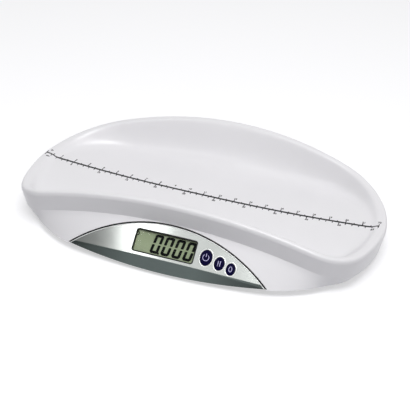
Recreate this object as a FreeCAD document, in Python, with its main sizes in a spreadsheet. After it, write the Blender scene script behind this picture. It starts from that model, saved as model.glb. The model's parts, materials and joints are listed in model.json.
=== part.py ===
import FreeCAD, Part
import math
import os
import re

Vector = FreeCAD.Vector

# alias, value (mm or degrees), meaning
DIMENSIONS = [
    ("rim_back", 149.1, "rim line at the middle of the back"),
    ("back_radius", 717, "plan radius of the back of the rim"),
    ("back_turn", 15.36, "angle turned by the back arc on each side"),
    ("shoulder_radius", 123, "plan radius of the two back shoulders"),
    ("shoulder_turn", 78.95, "angle turned by each shoulder"),
    ("side_radius", 251, "plan radius of the two ends"),
    ("side_turn", 16.1, "angle turned by each end"),
    ("corner_radius", 56, "plan radius of the two front corners"),
    ("rim_height", 91.9, "rim centre line over the table at mid length"),
    ("rim_fall", 51.4, "drop of the rim at fall_reach"),
    ("fall_reach", 290, "distance from mid length where the drop is measured"),
    ("rim_round", 7, "radius rolled over the rim"),
    ("strip_height", 28.5, "height of the upright band under the rim"),
    ("strip_draft", 5.3, "how far the band leans in at its foot"),
    ("dish_floor", 35.6, "dish floor over the table"),
    ("end_lip", 4, "crest of the rim over the dish floor at the two ends"),
    ("dish_flat", 30, "half length of the level middle of the dish"),
    ("wall_run", 40, "run of the highest dish wall from its foot to the rim"),
    ("dish_middle", 7.9, "centre of the dish from the mid plane"),
    ("shell_wall", 3, "wall of the tray shell"),
    ("run_on", 0.5, "how far the hollow runs on below the shell"),
    ("base_height", 12, "lower edge of the shell over the table"),
    ("skirt_tuck", 5, "how far the skirt tucks in under the rim line"),
    ("apron_front", 154.9, "lower edge of the apron at mid length"),
    ("apron_sweep", 10, "how far the apron edge has swept back at the panel tips"),
    ("cover_thick", 2.5, "base cover"),
    ("cover_gap", 0.4, "gap round the base cover"),
    ("panel_half", 153, "half length of the control panel"),
    ("crease_front", 149.9, "panel crease in front of the mid plane"),
    ("crease_height", 26, "panel crease over the table"),
    ("face_angle", 43.8, "slope of the panel face"),
    ("face_reach", 51, "panel face from crease to top edge"),
    ("tip_drop", 4.8, "panel tips below the crease along the slope"),
    ("face_radius", 952, "lengthwise bow of the panel face"),
    ("band_lean", 16.7, "lean of the dark band below the crease"),
    ("band_radius", 1410, "lengthwise bow of that band"),
    ("panel_foot", 6, "panel underside over the table"),
    ("foot_radius", 1500, "lengthwise bow of the panel underside"),
    ("panel_back", 109.9, "back of the panel in front of the mid plane"),
    ("panel_wall", 2.5, "wall of the panel"),
    ("gasket_width", 2.2, "black gasket round the panel"),
    ("gasket_depth", 6, "depth of the gasket"),
    ("gasket_proud", 0.4, "gasket above the face"),
    ("gasket_tip", 1, "gasket ends above the panel tips"),
    ("window_middle", -3.5, "display window from mid length"),
    ("window_rise", 21, "display window middle above the crease"),
    ("window_length", 94, "display window"),
    ("window_height", 33, "display window"),
    ("window_corner", 3, "display window corner radius"),
    ("lens_margin", 2, "clear lens beyond the window on each side"),
    ("lens_seat", 3, "depth of the lens seat below the face"),
    ("lens_thick", 1.5, "clear lens"),
    ("seat_gap", 0.2, "gap round parts laid in a seat"),
    ("seat_rib", 3.2, "rib round the lens seat"),
    ("glass_thick", 2.8, "display glass"),
    ("board_depth", 13.5, "circuit board below the face"),
    ("board_thick", 1.6, "circuit board"),
    ("board_left", 65, "board edge left of mid length"),
    ("board_right", 66, "main board field right of mid length"),
    ("board_low", 4, "board edge below the crease"),
    ("board_high", 36, "board edge above the crease"),
    ("tail_mid", 96, "end of the wider board tail"),
    ("tail_mid_high", 19, "wider board tail above the crease"),
    ("tail_end", 116, "end of the board tail"),
    ("tail_end_high", 14, "narrow board tail above the crease"),
    ("strip_wide", 2.2, "conductive strip under the display"),
    ("boss_radius", 2.6, "board bosses"),
    ("boss_left", 61, "left bosses from mid length"),
    ("boss_left_low", 2, "lower left boss above the crease"),
    ("boss_left_high", 28, "upper left boss above the crease"),
    ("boss_middle", 53, "middle boss from mid length"),
    ("boss_middle_high", 33, "middle boss above the crease"),
    ("boss_right", 112, "right boss from mid length"),
    ("boss_right_high", 4, "right boss above the crease"),
    ("peg_root", 1, "plain pegs let into their bosses"),
    ("board_screw", 1.1, "board screw shank radius"),
    ("board_screw_length", 4, "board screw thread in the boss"),
    ("board_bore_spare", 0.5, "bore of the boss beyond the screw's end"),
    ("board_head", 2, "board screw head radius"),
    ("board_head_high", 1.3, "board screw head"),
    ("connector_middle", 32, "loom connector from mid length"),
    ("connector_length", 24, "loom connector"),
    ("connector_up", 5, "loom connector above the crease"),
    ("connector_side", 6, "loom connector"),
    ("chip_side", 12, "controller chip"),
    ("chip_thick", 1.6, "controller chip"),
    ("chip_middle", -20, "controller chip from mid length"),
    ("frame_wall", 2, "wall of the display frame"),
    ("port_half", 58, "half length of the port in the panel back"),
    ("port_top", 46, "top of that port over the table"),
    ("key_proud", 1.2, "button tops above the face"),
    ("key_gap", 0.35, "gap round the button caps"),
    ("key_flange", 1.2, "flange round the button feet"),
    ("key_flange_thick", 0.8, "flange thickness"),
    ("key_travel", 0.6, "button travel"),
    ("switch_side", 6, "tact switch body"),
    ("switch_high", 2.5, "tact switch body"),
    ("plunger_radius", 1.6, "tact switch plunger"),
    ("plunger_high", 1.2, "plunger above the switch body"),
    ("plunger_deep", 1, "plunger inside the switch body"),
    ("plunger_gap", 0.4, "gap round the plunger"),
    ("cell_across", 205, "load cells from mid length"),
    ("cell_front", 68, "front load cells from the mid plane"),
    ("cell_back", 78, "back load cells from the mid plane"),
    ("cell_side", 34, "load cell plate"),
    ("cell_thick", 2, "load cell plate"),
    ("cell_slot", 2, "slots in the load cell"),
    ("tongue_side", 14, "middle tongue of the load cell"),
    ("carrier_wall", 3, "wall of the load cell carrier"),
    ("carrier_roof", 3, "roof of the load cell carrier"),
    ("flex_room", 1.5, "room above the load cell tongue"),
    ("foot_disc", 13, "foot radius"),
    ("foot_gap", 0.8, "gap round the feet"),
    ("foot_drop", 1, "foot body below the top of the base cover"),
    ("foot_stem", 5, "foot stem radius"),
    ("pad_radius", 11.5, "rubber pad radius"),
    ("pad_thick", 3.5, "rubber pad"),
    ("pad_inset", 1, "rubber pad let into the foot"),
    ("screw_across", 120, "base screws from mid length"),
    ("screw_front", 84, "front base screws from the mid plane"),
    ("screw_back", 112, "back base screws from the mid plane"),
    ("post_radius", 4.5, "screw posts of the shell"),
    ("base_screw", 1.5, "base screw shank radius"),
    ("screw_head", 3, "base screw head radius"),
    ("screw_head_high", 1.8, "base screw head"),
    ("base_screw_length", 12, "base screw bore in the post"),
    ("bore_spare", 1, "bore of a post or ear beyond the screw's end"),
    ("screw_gap", 0.25, "gap round screw shanks"),
    ("thread_gap", 0.05, "gap between thread and bore"),
    ("ear_across", 90, "panel ears from mid length"),
    ("ear_side", 12, "panel ears"),
    ("ear_thick", 6, "panel ears"),
    ("cell_radius", 7.1, "battery radius"),
    ("cell_length", 49.2, "battery body"),
    ("cap_radius", 2.7, "battery cap radius"),
    ("cap_length", 1.3, "battery cap"),
    ("cell_pitch", 15, "battery spacing"),
    ("bay_middle", 48, "battery bay middle from the mid plane"),
    ("bay_wall", 1.8, "battery bay wall"),
    ("bay_spare", 1, "spare length of the battery bay"),
    ("contact_thick", 0.5, "contact plate"),
    ("contact_side", 4.5, "contact plate beside the battery axis"),
    ("contact_high", 5, "contact plate above and below the battery axis"),
    ("spring_radius", 3, "contact spring radius"),
    ("spring_wire", 0.35, "contact spring wire radius"),
    ("spring_length", 3.2, "contact spring, compressed"),
    ("door_gap", 0.4, "gap round the battery door"),
    ("door_thick", 2.2, "battery door"),
    ("hook_width", 5, "hooks and latch of the battery door"),
    ("hook_reach", 2.2, "hook beyond the door edge"),
    ("hook_thick", 1.2, "hook and latch thickness"),
    ("loom_radius", 1.1, "wire loom radius"),
    ("loom_bend", 3, "bend radius of the looms"),
    ("loom_pitch", 3.6, "spacing of the looms at the connector"),
    ("loom_lane", 94.5, "nearest loom lane in front of the mid plane"),
    ("lane_step", 3.3, "spacing of the two loom lanes"),
    ("loom_drop", 102, "where the looms come down, in front of the mid plane"),
    ("loom_rise", 23, "looms over the table where they leave the panel"),
    ("loom_turn", 150, "where the back looms turn back, from mid length"),
    ("loom_notch", 3, "notch for the loom in the carrier wall"),
    ("loom_aside", 10, "front looms pass this far beside the load cell plate"),
    ("loom_under", 3, "looms end this far inside the load cell plate"),
    ("terminal_near", 7, "plus loom turns this far in front of the battery bay"),
    ("terminal_step", 4, "minus loom turns this much further in front"),
    ("run_through", 10, "how far a cutter runs past what it cuts"),
]

# buttons: name, place along the panel, place up the slope, width, height
BUTTONS = [
    ("power", "power_x", "power_up", "power_width", "power_height"),
    ("hold", "hold_x", "hold_up", "hold_width", "hold_height"),
    ("zero", "zero_x", "zero_up", "zero_width", "zero_height"),
]
for name, across, up, width, height in (("power", 61.4, 18, 17.5, 23), ("hold", 82, 14.1, 14.6, 19.2),
                                        ("zero", 99.7, 10.2, 13.2, 17.4)):
    DIMENSIONS += [(f"{name}_x", across, f"{name} button from mid length"),
                   (f"{name}_up", up, f"{name} button middle above the crease"),
                   (f"{name}_width", width, f"{name} button along the panel"),
                   (f"{name}_height", height, f"{name} button up the slope")]

ALIASES = {alias for alias, _, _ in DIMENSIONS}
PLACES = {}
RIM_STEPS = 120
ARC_STEPS = 60
# control rows of the dish: shares of the floor, (share of the wall's run, share of its height), and the
# roll over the rim as (outward, up) in shares of its radius
FLOOR_ROWS = (0.12, 0.2, 0.4, 0.7, 1)
RUN_POWER = 0.45    # a lower wall has a shorter run, to this power of its height
FLOOR_CURVE = 2.3   # the floor rises to the ends with this power of the distance
FLOOR_END = 1.4     # the floor ends this share of the wall's run inside the rim
WALL_ROWS = ((1, 0.02), (0.63, 0.13), (0.32, 0.4), (0.08, 0.78))
ROLL_ROWS = ((-0.55, 0.88), (0.35, 1), (0.75, 0.9), (1, 0.55), (1, 0))
FRONT_FACING = -0.4     # outward direction past which the skirt follows the apron
CORNER_LIMIT = 0.3      # keeps a sharp bend of the profile from moving too far inward
BULK = 900              # larger than the scale in every direction

doc = FreeCAD.newDocument("baby_scale")
sheet = doc.addObject("Spreadsheet::Sheet", "size")
for row, (alias, value, meaning) in enumerate(DIMENSIONS, 1):
    sheet.set(f"A{row}", meaning)
    sheet.set(f"B{row}", str(value))
    sheet.setAlias(f"B{row}", alias)
doc.recompute()


def mm(alias):
    return float(sheet.get(alias))


def formula(text):
    """Turn bare aliases into references to the spreadsheet."""
    return re.sub(r"[a-z_]+", lambda m: "size." + m[0] if m[0] in ALIASES else m[0], str(text))


def bind(item, **sizes):
    for prop, text in sizes.items():
        item.setExpression(prop, formula(text))
    return item


def place(item, x="0", y="0", z="0", axis=None, angle="0"):
    PLACES[item.Name] = (x, y, z)
    if axis:
        item.Placement.Rotation = FreeCAD.Rotation(axis, 1)
        item.setExpression("Placement.Rotation.Angle", formula(angle))
    for letter, text in zip("xyz", (x, y, z)):
        item.setExpression(f"Placement.Base.{letter}", formula(text))
    return item


def box(name, length, width, height, x="0", y="0", z="0"):
    """Block centred on x and y, standing on z."""
    item = bind(doc.addObject("Part::Box", name), Length=length, Width=width, Height=height)
    return place(item, f"{x} - ({length}) / 2", f"{y} - ({width}) / 2", z)


def rod(name, radius, height, x="0", y="0", z="0"):
    item = bind(doc.addObject("Part::Cylinder", name), Radius=radius, Height=height)
    return place(item, x, y, z)


def fuse(name, *items):
    item = doc.addObject("Part::MultiFuse", name)
    item.Shapes = list(items)
    return item


def common(name, *items):
    item = doc.addObject("Part::MultiCommon", name)
    item.Shapes = list(items)
    return item


def cut(name, base, *tools):
    item = doc.addObject("Part::Cut", name)
    item.Base = base
    item.Tool = tools[0] if len(tools) == 1 else fuse(f"{name}_cutters", *tools)
    return item


def oval(name, width, height, thick, x, y, z):
    """Upright elliptical disc, its long axis along y."""
    outline = doc.addObject("Part::Ellipse", f"{name}_outline")
    bind(outline, MajorRadius=f"({height}) / 2", MinorRadius=f"({width}) / 2")
    place(outline, x, y, z, Vector(0, 0, 1), "90")
    disc = doc.addObject("Part::Extrusion", name)
    disc.Base = outline
    disc.DirMode = "Custom"
    disc.Dir = Vector(0, 0, 1)
    disc.Solid = True
    return bind(disc, LengthFwd=thick)


def on_panel(item):
    """Carry a part made flat (x along, y up the slope, z out) to the panel face."""
    x, y, z = PLACES.get(item.Name, ("0", "0", "0"))
    slope_cos, slope_sin = "cos(face_angle * 1 deg)", "sin(face_angle * 1 deg)"
    return place(item, x, f"({y}) * {slope_cos} - ({z}) * {slope_sin} - crease_front",
                 f"({y}) * {slope_sin} + ({z}) * {slope_cos} + crease_height", Vector(1, 0, 0), "face_angle")


# ---------------------------------------------------------------- tray shell
def arc_points(start, heading, radius, turn, steps):
    """Points along a clockwise arc, with the place and heading at its end."""
    centre = start + Vector(-math.sin(heading), -math.cos(heading), 0) * radius
    points = []
    for step in range(steps):
        angle = heading + turn * step / steps
        points.append(centre + Vector(math.sin(angle), math.cos(angle), 0) * radius)
    end = heading + turn
    return points, centre + Vector(math.sin(end), math.cos(end), 0) * radius, end


def rim_half():
    """Rim line from the middle of the back, round the right end, to the front corner."""
    turns = [math.radians(mm(turn)) for turn in ("back_turn", "shoulder_turn", "side_turn")]
    turns.append(math.pi - sum(turns))
    radii = [mm(radius) for radius in ("back_radius", "shoulder_radius", "side_radius", "corner_radius")]
    point, heading, points = Vector(0, mm("rim_back"), 0), 0, []
    for radius, turn in zip(radii, turns):
        arc, point, heading = arc_points(point, heading, radius, turn, ARC_STEPS)
        points += arc
    return points + [point, Vector(0, point.y, 0)]


def spaced(points, count):
    """The same line as count equal steps, both ends included."""
    lengths = [0]
    for a, b in zip(points, points[1:]):
        lengths.append(lengths[-1] + (b - a).Length)
    result, piece = [], 0
    for step in range(count + 1):
        target = lengths[-1] * step / count
        while piece < len(points) - 2 and lengths[piece + 1] < target:
            piece += 1
        share = (target - lengths[piece]) / (lengths[piece + 1] - lengths[piece])
        result.append(points[piece] + (points[piece + 1] - points[piece]) * share)
    return result


def rim_line():
    half = spaced(rim_half(), RIM_STEPS // 2)
    mirrored = [Vector(-point.x, point.y, 0) for point in half[-2:0:-1]]
    return half + mirrored


def outward(line, index):
    ahead = line[(index + 1) % len(line)] - line[index - 1]
    return Vector(-ahead.y, ahead.x, 0).normalize()


RIM_END = max(point.x for point in rim_line())


def rim_height(x):
    return mm("rim_height") - mm("rim_fall") * (x / mm("fall_reach")) ** 2


def floor_height(x):
    """Level in the middle, then rising in a curve to end_lip below the crest at the ends."""
    beyond = max(0, abs(x) - mm("dish_flat")) / (RIM_END - mm("dish_flat"))
    rise = rim_height(RIM_END) + mm("rim_round") - mm("end_lip") - mm("dish_floor")
    return mm("dish_floor") + rise * beyond ** FLOOR_CURVE


def dish_column(rim, normal):
    """Control points from the middle of the dish up over the rim at one place."""
    middle = Vector(0, mm("dish_middle"), 0)
    roll = mm("rim_round")
    crest = rim_height(rim.x) + roll
    highest = mm("rim_height") + roll - mm("dish_floor")
    run = mm("wall_run") * ((crest - floor_height(rim.x)) / highest) ** RUN_POWER
    inward = (middle - rim).normalize()
    foot = (rim - middle).Length - roll - FLOOR_END * run
    column = []
    for share in FLOOR_ROWS:
        point = middle - inward * (foot * share)
        column.append(Vector(point.x, point.y, floor_height(point.x)))
    for share, climb in WALL_ROWS:
        point = rim + inward * (roll + share * run)
        low = floor_height(point.x)
        column.append(Vector(point.x, point.y, low + (crest - low) * climb))
    for out, up in ROLL_ROWS:
        point = rim + normal * (out * roll)
        column.append(Vector(point.x, point.y, rim_height(rim.x) + up * roll))
    return column


def skirt_column(rim, normal):
    """The foot of the upright band and the lower edge of the skirt at one place."""
    strip = rim + normal * (mm("rim_round") - mm("strip_draft"))
    edge = rim - normal * mm("skirt_tuck")
    apron = mm("apron_sweep") * (edge.x / mm("panel_half")) ** 4 - mm("apron_front")
    if normal.y < FRONT_FACING:
        edge.y = min(edge.y, apron)
    return [Vector(strip.x, strip.y, rim_height(rim.x) - mm("strip_height")),
            Vector(edge.x, edge.y, mm("base_height"))]


def inset_column(column, depth):
    """The column moved inward by depth, measured square to its own profile."""
    middle = Vector(0, mm("dish_middle"), 0)
    flat = [Vector(point.x, point.y, 0) - middle for point in column]
    profile = [(spoke.Length, point.z) for spoke, point in zip(flat, column)]
    moved = []
    for index, (reach, height) in enumerate(profile):
        before = profile[max(index - 1, 0)]
        after = profile[min(index + 1, len(profile) - 1)]
        sides = []
        for (r1, z1), (r2, z2) in ((before, profile[index]), (profile[index], after)):
            length = math.hypot(r2 - r1, z2 - z1)
            if length > 0:
                sides.append(((z2 - z1) / length, -(r2 - r1) / length))
        out = [sum(side[axis] for side in sides) / len(sides) for axis in (0, 1)]
        scale = depth / max(out[0] ** 2 + out[1] ** 2, CORNER_LIMIT)
        reach_moved = reach + out[0] * scale
        spoke = flat[index] * (reach_moved / reach)
        moved.append(Vector(spoke.x, spoke.y + middle.y, height + out[1] * scale))
    return moved


def ring_surface(rows, degree):
    """Surface closed round the tray, with one row of control points per ring."""
    poles = [[row[index] for row in rows] for index in range(len(rows[0]))]
    count = len(rows)
    knots = list(range(count - degree + 1))
    ends = [degree + 1] + [1] * (len(knots) - 2) + [degree + 1]
    surface = Part.BSplineSurface()
    surface.buildFromPolesMultsKnots(
        poles, [1] * (len(poles) + 1), ends, list(range(len(poles) + 1)), knots, True, False, 3, degree)
    return surface.toShape()


def level_cap(row):
    edge = Part.BSplineCurve()
    edge.buildFromPolesMultsKnots(row, [1] * (len(row) + 1), list(range(len(row) + 1)), True, 3)
    return Part.Face(Part.Wire([edge.toShape()]))


def run_on(column, height):
    """Lowest point of the column, moved along its last step to the given height."""
    above, edge = column[-2:]
    return edge + (edge - above) * ((edge.z - height) / (above.z - edge.z))


def hull(depth):
    """Solid of the whole housing, moved inward by depth; a moved one runs on below the base."""
    line = rim_line()
    columns = []
    for index, rim in enumerate(line):
        normal = outward(line, index)
        column = dish_column(rim, normal) + skirt_column(rim, normal)
        if depth:
            column = inset_column(column, depth)
            column[-1] = run_on(column, mm("base_height") - mm("run_on"))
        column[0].z = mm("dish_floor") - depth
        columns.append(column)
    rows = [[column[index] for column in columns] for index in range(len(columns[0]))]
    faces = [level_cap(rows[0]), ring_surface(rows[:-2], 3), ring_surface(rows[-3:-1], 1),
             ring_surface(rows[-2:], 1), level_cap(rows[-1])]
    shell = Part.makeShell(faces)
    shell.sewShape()
    solid = Part.Solid(Part.Shell(shell.Faces))
    if solid.Volume < 0:
        solid.reverse()
    return solid


def freeform(name, shape):
    item = doc.addObject("Part::Feature", name)
    item.Shape = shape
    return item


shell_outside = freeform("shell_outside", hull(0))
shell_inside = freeform("shell_inside", hull(mm("shell_wall")))
cover_limit = freeform("cover_limit", hull(mm("shell_wall") + mm("cover_gap")))

BASE_TOP = "(base_height + cover_thick)"
EDGE_RISE = "(face_reach + tip_drop)"
EDGE_RADIUS = f"((panel_half ^ 2 + {EDGE_RISE} ^ 2) / (2 * {EDGE_RISE}))"


def panel_edge(name, grow):
    """Round prism whose top is the panel's arched edge, in the panel's own frame."""
    return rod(name, f"{EDGE_RADIUS} + {grow}", BULK, y=f"face_reach - {EDGE_RADIUS}", z=-BULK / 2)


def panel_opening(name, grow):
    """Everything in front of and behind the panel face, grow wider than the panel."""
    slab = box(f"{name}_slab", f"2 * (panel_half + {grow})", BULK, BULK, z=-BULK / 2)
    return on_panel(common(name, panel_edge(f"{name}_edge", grow), slab))


def screw_places():
    return [(f"{side}_{end}", f"{sign} * screw_across", depth)
            for side, sign in (("left", -1), ("right", 1))
            for end, depth in (("front", "-screw_front"), ("back", "screw_back"))]


def make_tray_shell():
    posts = [rod(f"post_{name}", "post_radius", BULK, x, y, BASE_TOP) for name, x, y in screw_places()]
    bores = [rod(f"post_bore_{name}", "base_screw + thread_gap", "base_screw_length", x, y, BASE_TOP)
             for name, x, y in screw_places()]
    hollow = cut("shell_hollow", shell_inside, *posts)
    walls = cut("shell_walls", shell_outside, hollow)
    open_walls = cut("open_walls", walls, panel_opening("panel_opening", "gasket_width"))
    return cut("tray_shell", open_walls, *bores)


# ---------------------------------------------------------------- control panel
def panel_body(name, skin):
    """Wedge behind the panel face, every side moved in by skin."""
    face = bind(doc.addObject("Part::Cylinder", f"{name}_face"), Radius=f"face_radius - {skin}", Height=BULK)
    place(face, "0",
          f"-crease_front + face_radius * sin(face_angle * 1 deg) - {BULK / 2} * cos(face_angle * 1 deg)",
          f"crease_height - face_radius * cos(face_angle * 1 deg) - {BULK / 2} * sin(face_angle * 1 deg)",
          Vector(-1, 0, 0), "90 - face_angle")
    band = bind(doc.addObject("Part::Cylinder", f"{name}_band"), Radius=f"band_radius - {skin}", Height=BULK)
    place(band, "0",
          f"-crease_front + band_radius * cos(band_lean * 1 deg) - {BULK / 2} * sin(band_lean * 1 deg)",
          f"crease_height - band_radius * sin(band_lean * 1 deg) - {BULK / 2} * cos(band_lean * 1 deg)",
          Vector(-1, 0, 0), "band_lean")
    under = bind(doc.addObject("Part::Cylinder", f"{name}_under"), Radius=f"foot_radius - {skin}", Height=BULK)
    place(under, "0", f"{-BULK / 2}", "panel_foot + foot_radius", Vector(-1, 0, 0), "90")
    edge = on_panel(panel_edge(f"{name}_edge", f"-{skin}"))
    room = box(f"{name}_room", f"2 * (panel_half - {skin})", BULK, BULK, y=f"-panel_back - {skin} - {BULK / 2}")
    return common(name, face, band, under, edge, room)


def rounded(name, length, width, height, corner, x="0", y="0", z="0"):
    """Block with rounded upright corners."""
    parts = [box(f"{name}_long", length, f"{width} - 2 * {corner}", height, x, y, z),
             box(f"{name}_wide", f"{length} - 2 * {corner}", width, height, x, y, z)]
    for side in (-1, 1):
        for end in (-1, 1):
            parts.append(rod(f"{name}_corner_{len(parts)}", corner, height,
                             f"{x} + {side} * (({length}) / 2 - {corner})",
                             f"{y} + {end} * (({width}) / 2 - {corner})", z))
    return fuse(name, *parts)


panel_limit = panel_body("panel_limit", "(panel_wall + seat_gap)")
LENS_LENGTH = "(window_length + 2 * lens_margin)"
LENS_HEIGHT = "(window_height + 2 * lens_margin)"
LENS_BACK = "(lens_seat + lens_thick)"
BOARD_BACK = "(board_depth + board_thick)"

# board bosses: name, along the panel, up the slope, screwed or a plain peg
BOSSES = [("left_low", "-boss_left", "boss_left_low", False),
          ("left_high", "-boss_left", "boss_left_high", True),
          ("middle", "boss_middle", "boss_middle_high", False),
          ("right", "boss_right", "boss_right_high", True)]


def sag(x):
    """How far the bowed face lies below its middle at x."""
    return f"(face_radius - sqrt(face_radius ^ 2 - ({x}) ^ 2))"


def make_control_panel():
    rib = box("window_rib", f"{LENS_LENGTH} + 2 * (seat_gap + seat_rib)",
              f"{LENS_HEIGHT} + 2 * (seat_gap + seat_rib)", f"{LENS_BACK} + run_through",
              "window_middle", "window_rise", f"-{LENS_BACK}")
    bosses = [rod(f"boss_{name}", "boss_radius", "board_depth + run_through", x, y, "-board_depth")
              for name, x, y, _ in BOSSES]
    kept = on_panel(fuse("panel_ribs", rib, *bosses))
    hollow = cut("panel_hollow", panel_body("panel_inside", "panel_wall"), kept)
    walls = cut("panel_walls", panel_body("panel_outside", "0"), hollow)
    ears = [box(f"ear_{side}", "ear_side", "ear_side + panel_wall", "ear_thick", f"{side} * ear_across",
                "-panel_back + (ear_side - panel_wall) / 2", BASE_TOP) for side in (-1, 1)]
    pegs = [rod(f"peg_{name}", "board_screw", "board_thick + board_head_high + peg_root", x, y,
                f"-{BOARD_BACK} - board_head_high")
            for name, x, y, screwed in BOSSES if not screwed]
    solid = fuse("panel_solid", walls, *ears, on_panel(fuse("pegs", *pegs)))

    window = rounded("window_hole", "window_length", "window_height", "2 * run_through", "window_corner",
                     "window_middle", "window_rise", "-run_through")
    seat = box("lens_pocket", f"{LENS_LENGTH} + 2 * seat_gap", f"{LENS_HEIGHT} + 2 * seat_gap",
               "lens_thick + run_through", "window_middle", "window_rise", f"-{LENS_BACK} - run_through")
    key_holes = [oval(f"key_hole_{name}", f"{width} + 2 * key_gap", f"{height} + 2 * key_gap",
                      "2 * run_through", x, up, "-run_through") for name, x, up, width, height in BUTTONS]
    bores = [rod(f"boss_bore_{name}", "board_screw + thread_gap", "board_screw_length + board_bore_spare", x, y,
                 "-board_depth") for name, x, y, screwed in BOSSES if screwed]
    ear_bores = [rod(f"ear_bore_{side}", "base_screw + thread_gap", "ear_thick", f"{side} * ear_across",
                     "-panel_back + ear_side / 2", BASE_TOP) for side in (-1, 1)]
    port_low = f"({BASE_TOP} + panel_wall)"
    port = box("panel_port", "2 * port_half", "4 * panel_wall", f"port_top - {port_low}",
               y="-panel_back", z=port_low)
    return cut("control_panel", solid, on_panel(fuse("panel_cutters", window, seat, *key_holes, *bores)),
               port, *ear_bores)


def make_panel_gasket():
    """Black strip let into the gap between the panel's arched edge and the shell."""
    ring = cut("gasket_ring", panel_edge("gasket_out", "gasket_width"), panel_edge("gasket_in", "0"))

    def bowed(name, grow):
        item = bind(doc.addObject("Part::Cylinder", name), Radius=f"face_radius + {grow}", Height=BULK)
        return place(item, "0", f"{-BULK / 2}", "-face_radius", Vector(-1, 0, 0), "90")

    layer = cut("gasket_layer", bowed("gasket_top", "gasket_proud"), bowed("gasket_low", "-gasket_depth"))
    room = box("gasket_room", "2 * (panel_half + gasket_width)", "2 * face_reach", BULK,
               y="face_reach - tip_drop + gasket_tip", z=-BULK / 2)
    return on_panel(common("panel_gasket", ring, layer, room))


# ---------------------------------------------------------------- display and board
def make_display():
    on_panel(box("lcd_lens", LENS_LENGTH, LENS_HEIGHT, "lens_thick", "window_middle", "window_rise",
                 f"-{LENS_BACK}"))
    on_panel(box("lcd_glass", LENS_LENGTH, LENS_HEIGHT, "glass_thick", "window_middle", "window_rise",
                 f"-{LENS_BACK} - glass_thick"))
    frame_high = f"(board_depth - {LENS_BACK})"
    inner_length = f"({LENS_LENGTH} + 2 * seat_gap)"
    inner_height = f"({LENS_HEIGHT} + 2 * seat_gap)"
    block = box("frame_block", f"{inner_length} + 2 * frame_wall", f"{inner_height} + 2 * frame_wall",
                frame_high, "window_middle", "window_rise", "-board_depth")
    pocket = box("frame_pocket", inner_length, inner_height, "glass_thick", "window_middle", "window_rise",
                 f"-{LENS_BACK} - glass_thick")
    through = box("frame_through", f"{inner_length} - 2 * frame_wall", f"{inner_height} - 2 * frame_wall",
                  "board_depth", "window_middle", "window_rise", "-board_depth")
    common("lcd_frame", on_panel(cut("frame_ring", block, pocket, through)), panel_limit)
    on_panel(box("zebra_strip", f"{LENS_LENGTH} - 4 * frame_wall", "strip_wide",
                 f"{frame_high} - glass_thick", "window_middle",
                 f"window_rise + {inner_height} / 2 - frame_wall - strip_wide", "-board_depth"))


def board_field(name, left, right, top):
    return box(name, f"{right} - ({left})", f"{top} + board_low", "board_thick", f"({right} + ({left})) / 2",
               f"({top} - board_low) / 2", f"-{BOARD_BACK}")


def make_board():
    fields = [board_field("board_main", "-board_left", "board_right", "board_high"),
              board_field("board_tail", "-board_left", "tail_mid", "tail_mid_high"),
              board_field("board_tip", "-board_left", "tail_end", "tail_end_high")]
    holes = [rod(f"board_hole_{name}", "board_screw + screw_gap", "board_thick", x, y, f"-{BOARD_BACK}")
             for name, x, y, _ in BOSSES]
    common("main_pcb", on_panel(cut("board_drilled", fuse("board_blank", *fields), *holes)), panel_limit)
    on_panel(box("controller_chip", "chip_side", "chip_side", "chip_thick", "chip_middle", "window_rise",
                 f"-{BOARD_BACK} - chip_thick"))
    on_panel(box("loom_connector", "connector_length", "connector_side", "connector_side",
                 "connector_middle", "connector_up", f"-{BOARD_BACK} - connector_side"))
    for name, x, y, screwed in BOSSES:
        if screwed:
            head = rod(f"board_screw_head_{name}", "board_head", "board_head_high", x, y,
                       f"-{BOARD_BACK} - board_head_high")
            shank = rod(f"board_screw_shank_{name}", "board_screw", "board_screw_length + board_thick", x, y,
                        f"-{BOARD_BACK}")
            on_panel(fuse(f"pcb_screw_{name}", head, shank))


def make_buttons():
    plunger_top = "(board_depth - switch_high - plunger_high)"
    for name, x, up, width, height in BUTTONS:
        flange_top = f"({sag(f'{x} + {width} / 2 + key_flange')} + panel_wall + seat_gap)"
        cap = oval(f"key_cap_{name}", width, height, f"{flange_top} + key_proud - {sag(x)}",
                   x, up, f"-{flange_top}")
        flange = oval(f"key_flange_{name}", f"{width} + 2 * key_flange", f"{height} + 2 * key_flange",
                      "key_flange_thick", x, up, f"-{flange_top} - key_flange_thick")
        stem = rod(f"key_stem_{name}", "plunger_radius", f"{plunger_top} - {flange_top}",
                   x, up, f"-{plunger_top}")
        on_panel(fuse(f"button_{name}", cap, flange, stem))
        body = box(f"switch_block_{name}", "switch_side", "switch_side", "switch_high", x, up, "-board_depth")
        bore = rod(f"switch_bore_{name}", "plunger_radius + plunger_gap", "plunger_deep + key_travel",
                   x, up, "-board_depth + switch_high - plunger_deep - key_travel")
        on_panel(cut(f"tact_switch_{name}", body, bore))
        on_panel(rod(f"tact_plunger_{name}", "plunger_radius", "plunger_high + plunger_deep", x, up,
                     f"-{plunger_top} - plunger_high - plunger_deep"))


# ---------------------------------------------------------------- base, cells and feet
CELL_HEIGHT = f"({BASE_TOP} + 2 * loom_radius)"
BAY_LENGTH = "(4 * cell_pitch + bay_spare)"
BAY_WIDTH = "(cell_length + cap_length + spring_length + 2 * contact_thick)"
BAY_FRONT = f"(bay_middle - {BAY_WIDTH} / 2)"
BATTERY_HEIGHT = "(base_height + door_thick + seat_gap + cell_radius)"


def cell_places():
    return [(f"{end}_{side}", sign, depth)
            for side, sign in (("left", -1), ("right", 1))
            for end, depth in (("front", "-cell_front"), ("back", "cell_back"))]


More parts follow.
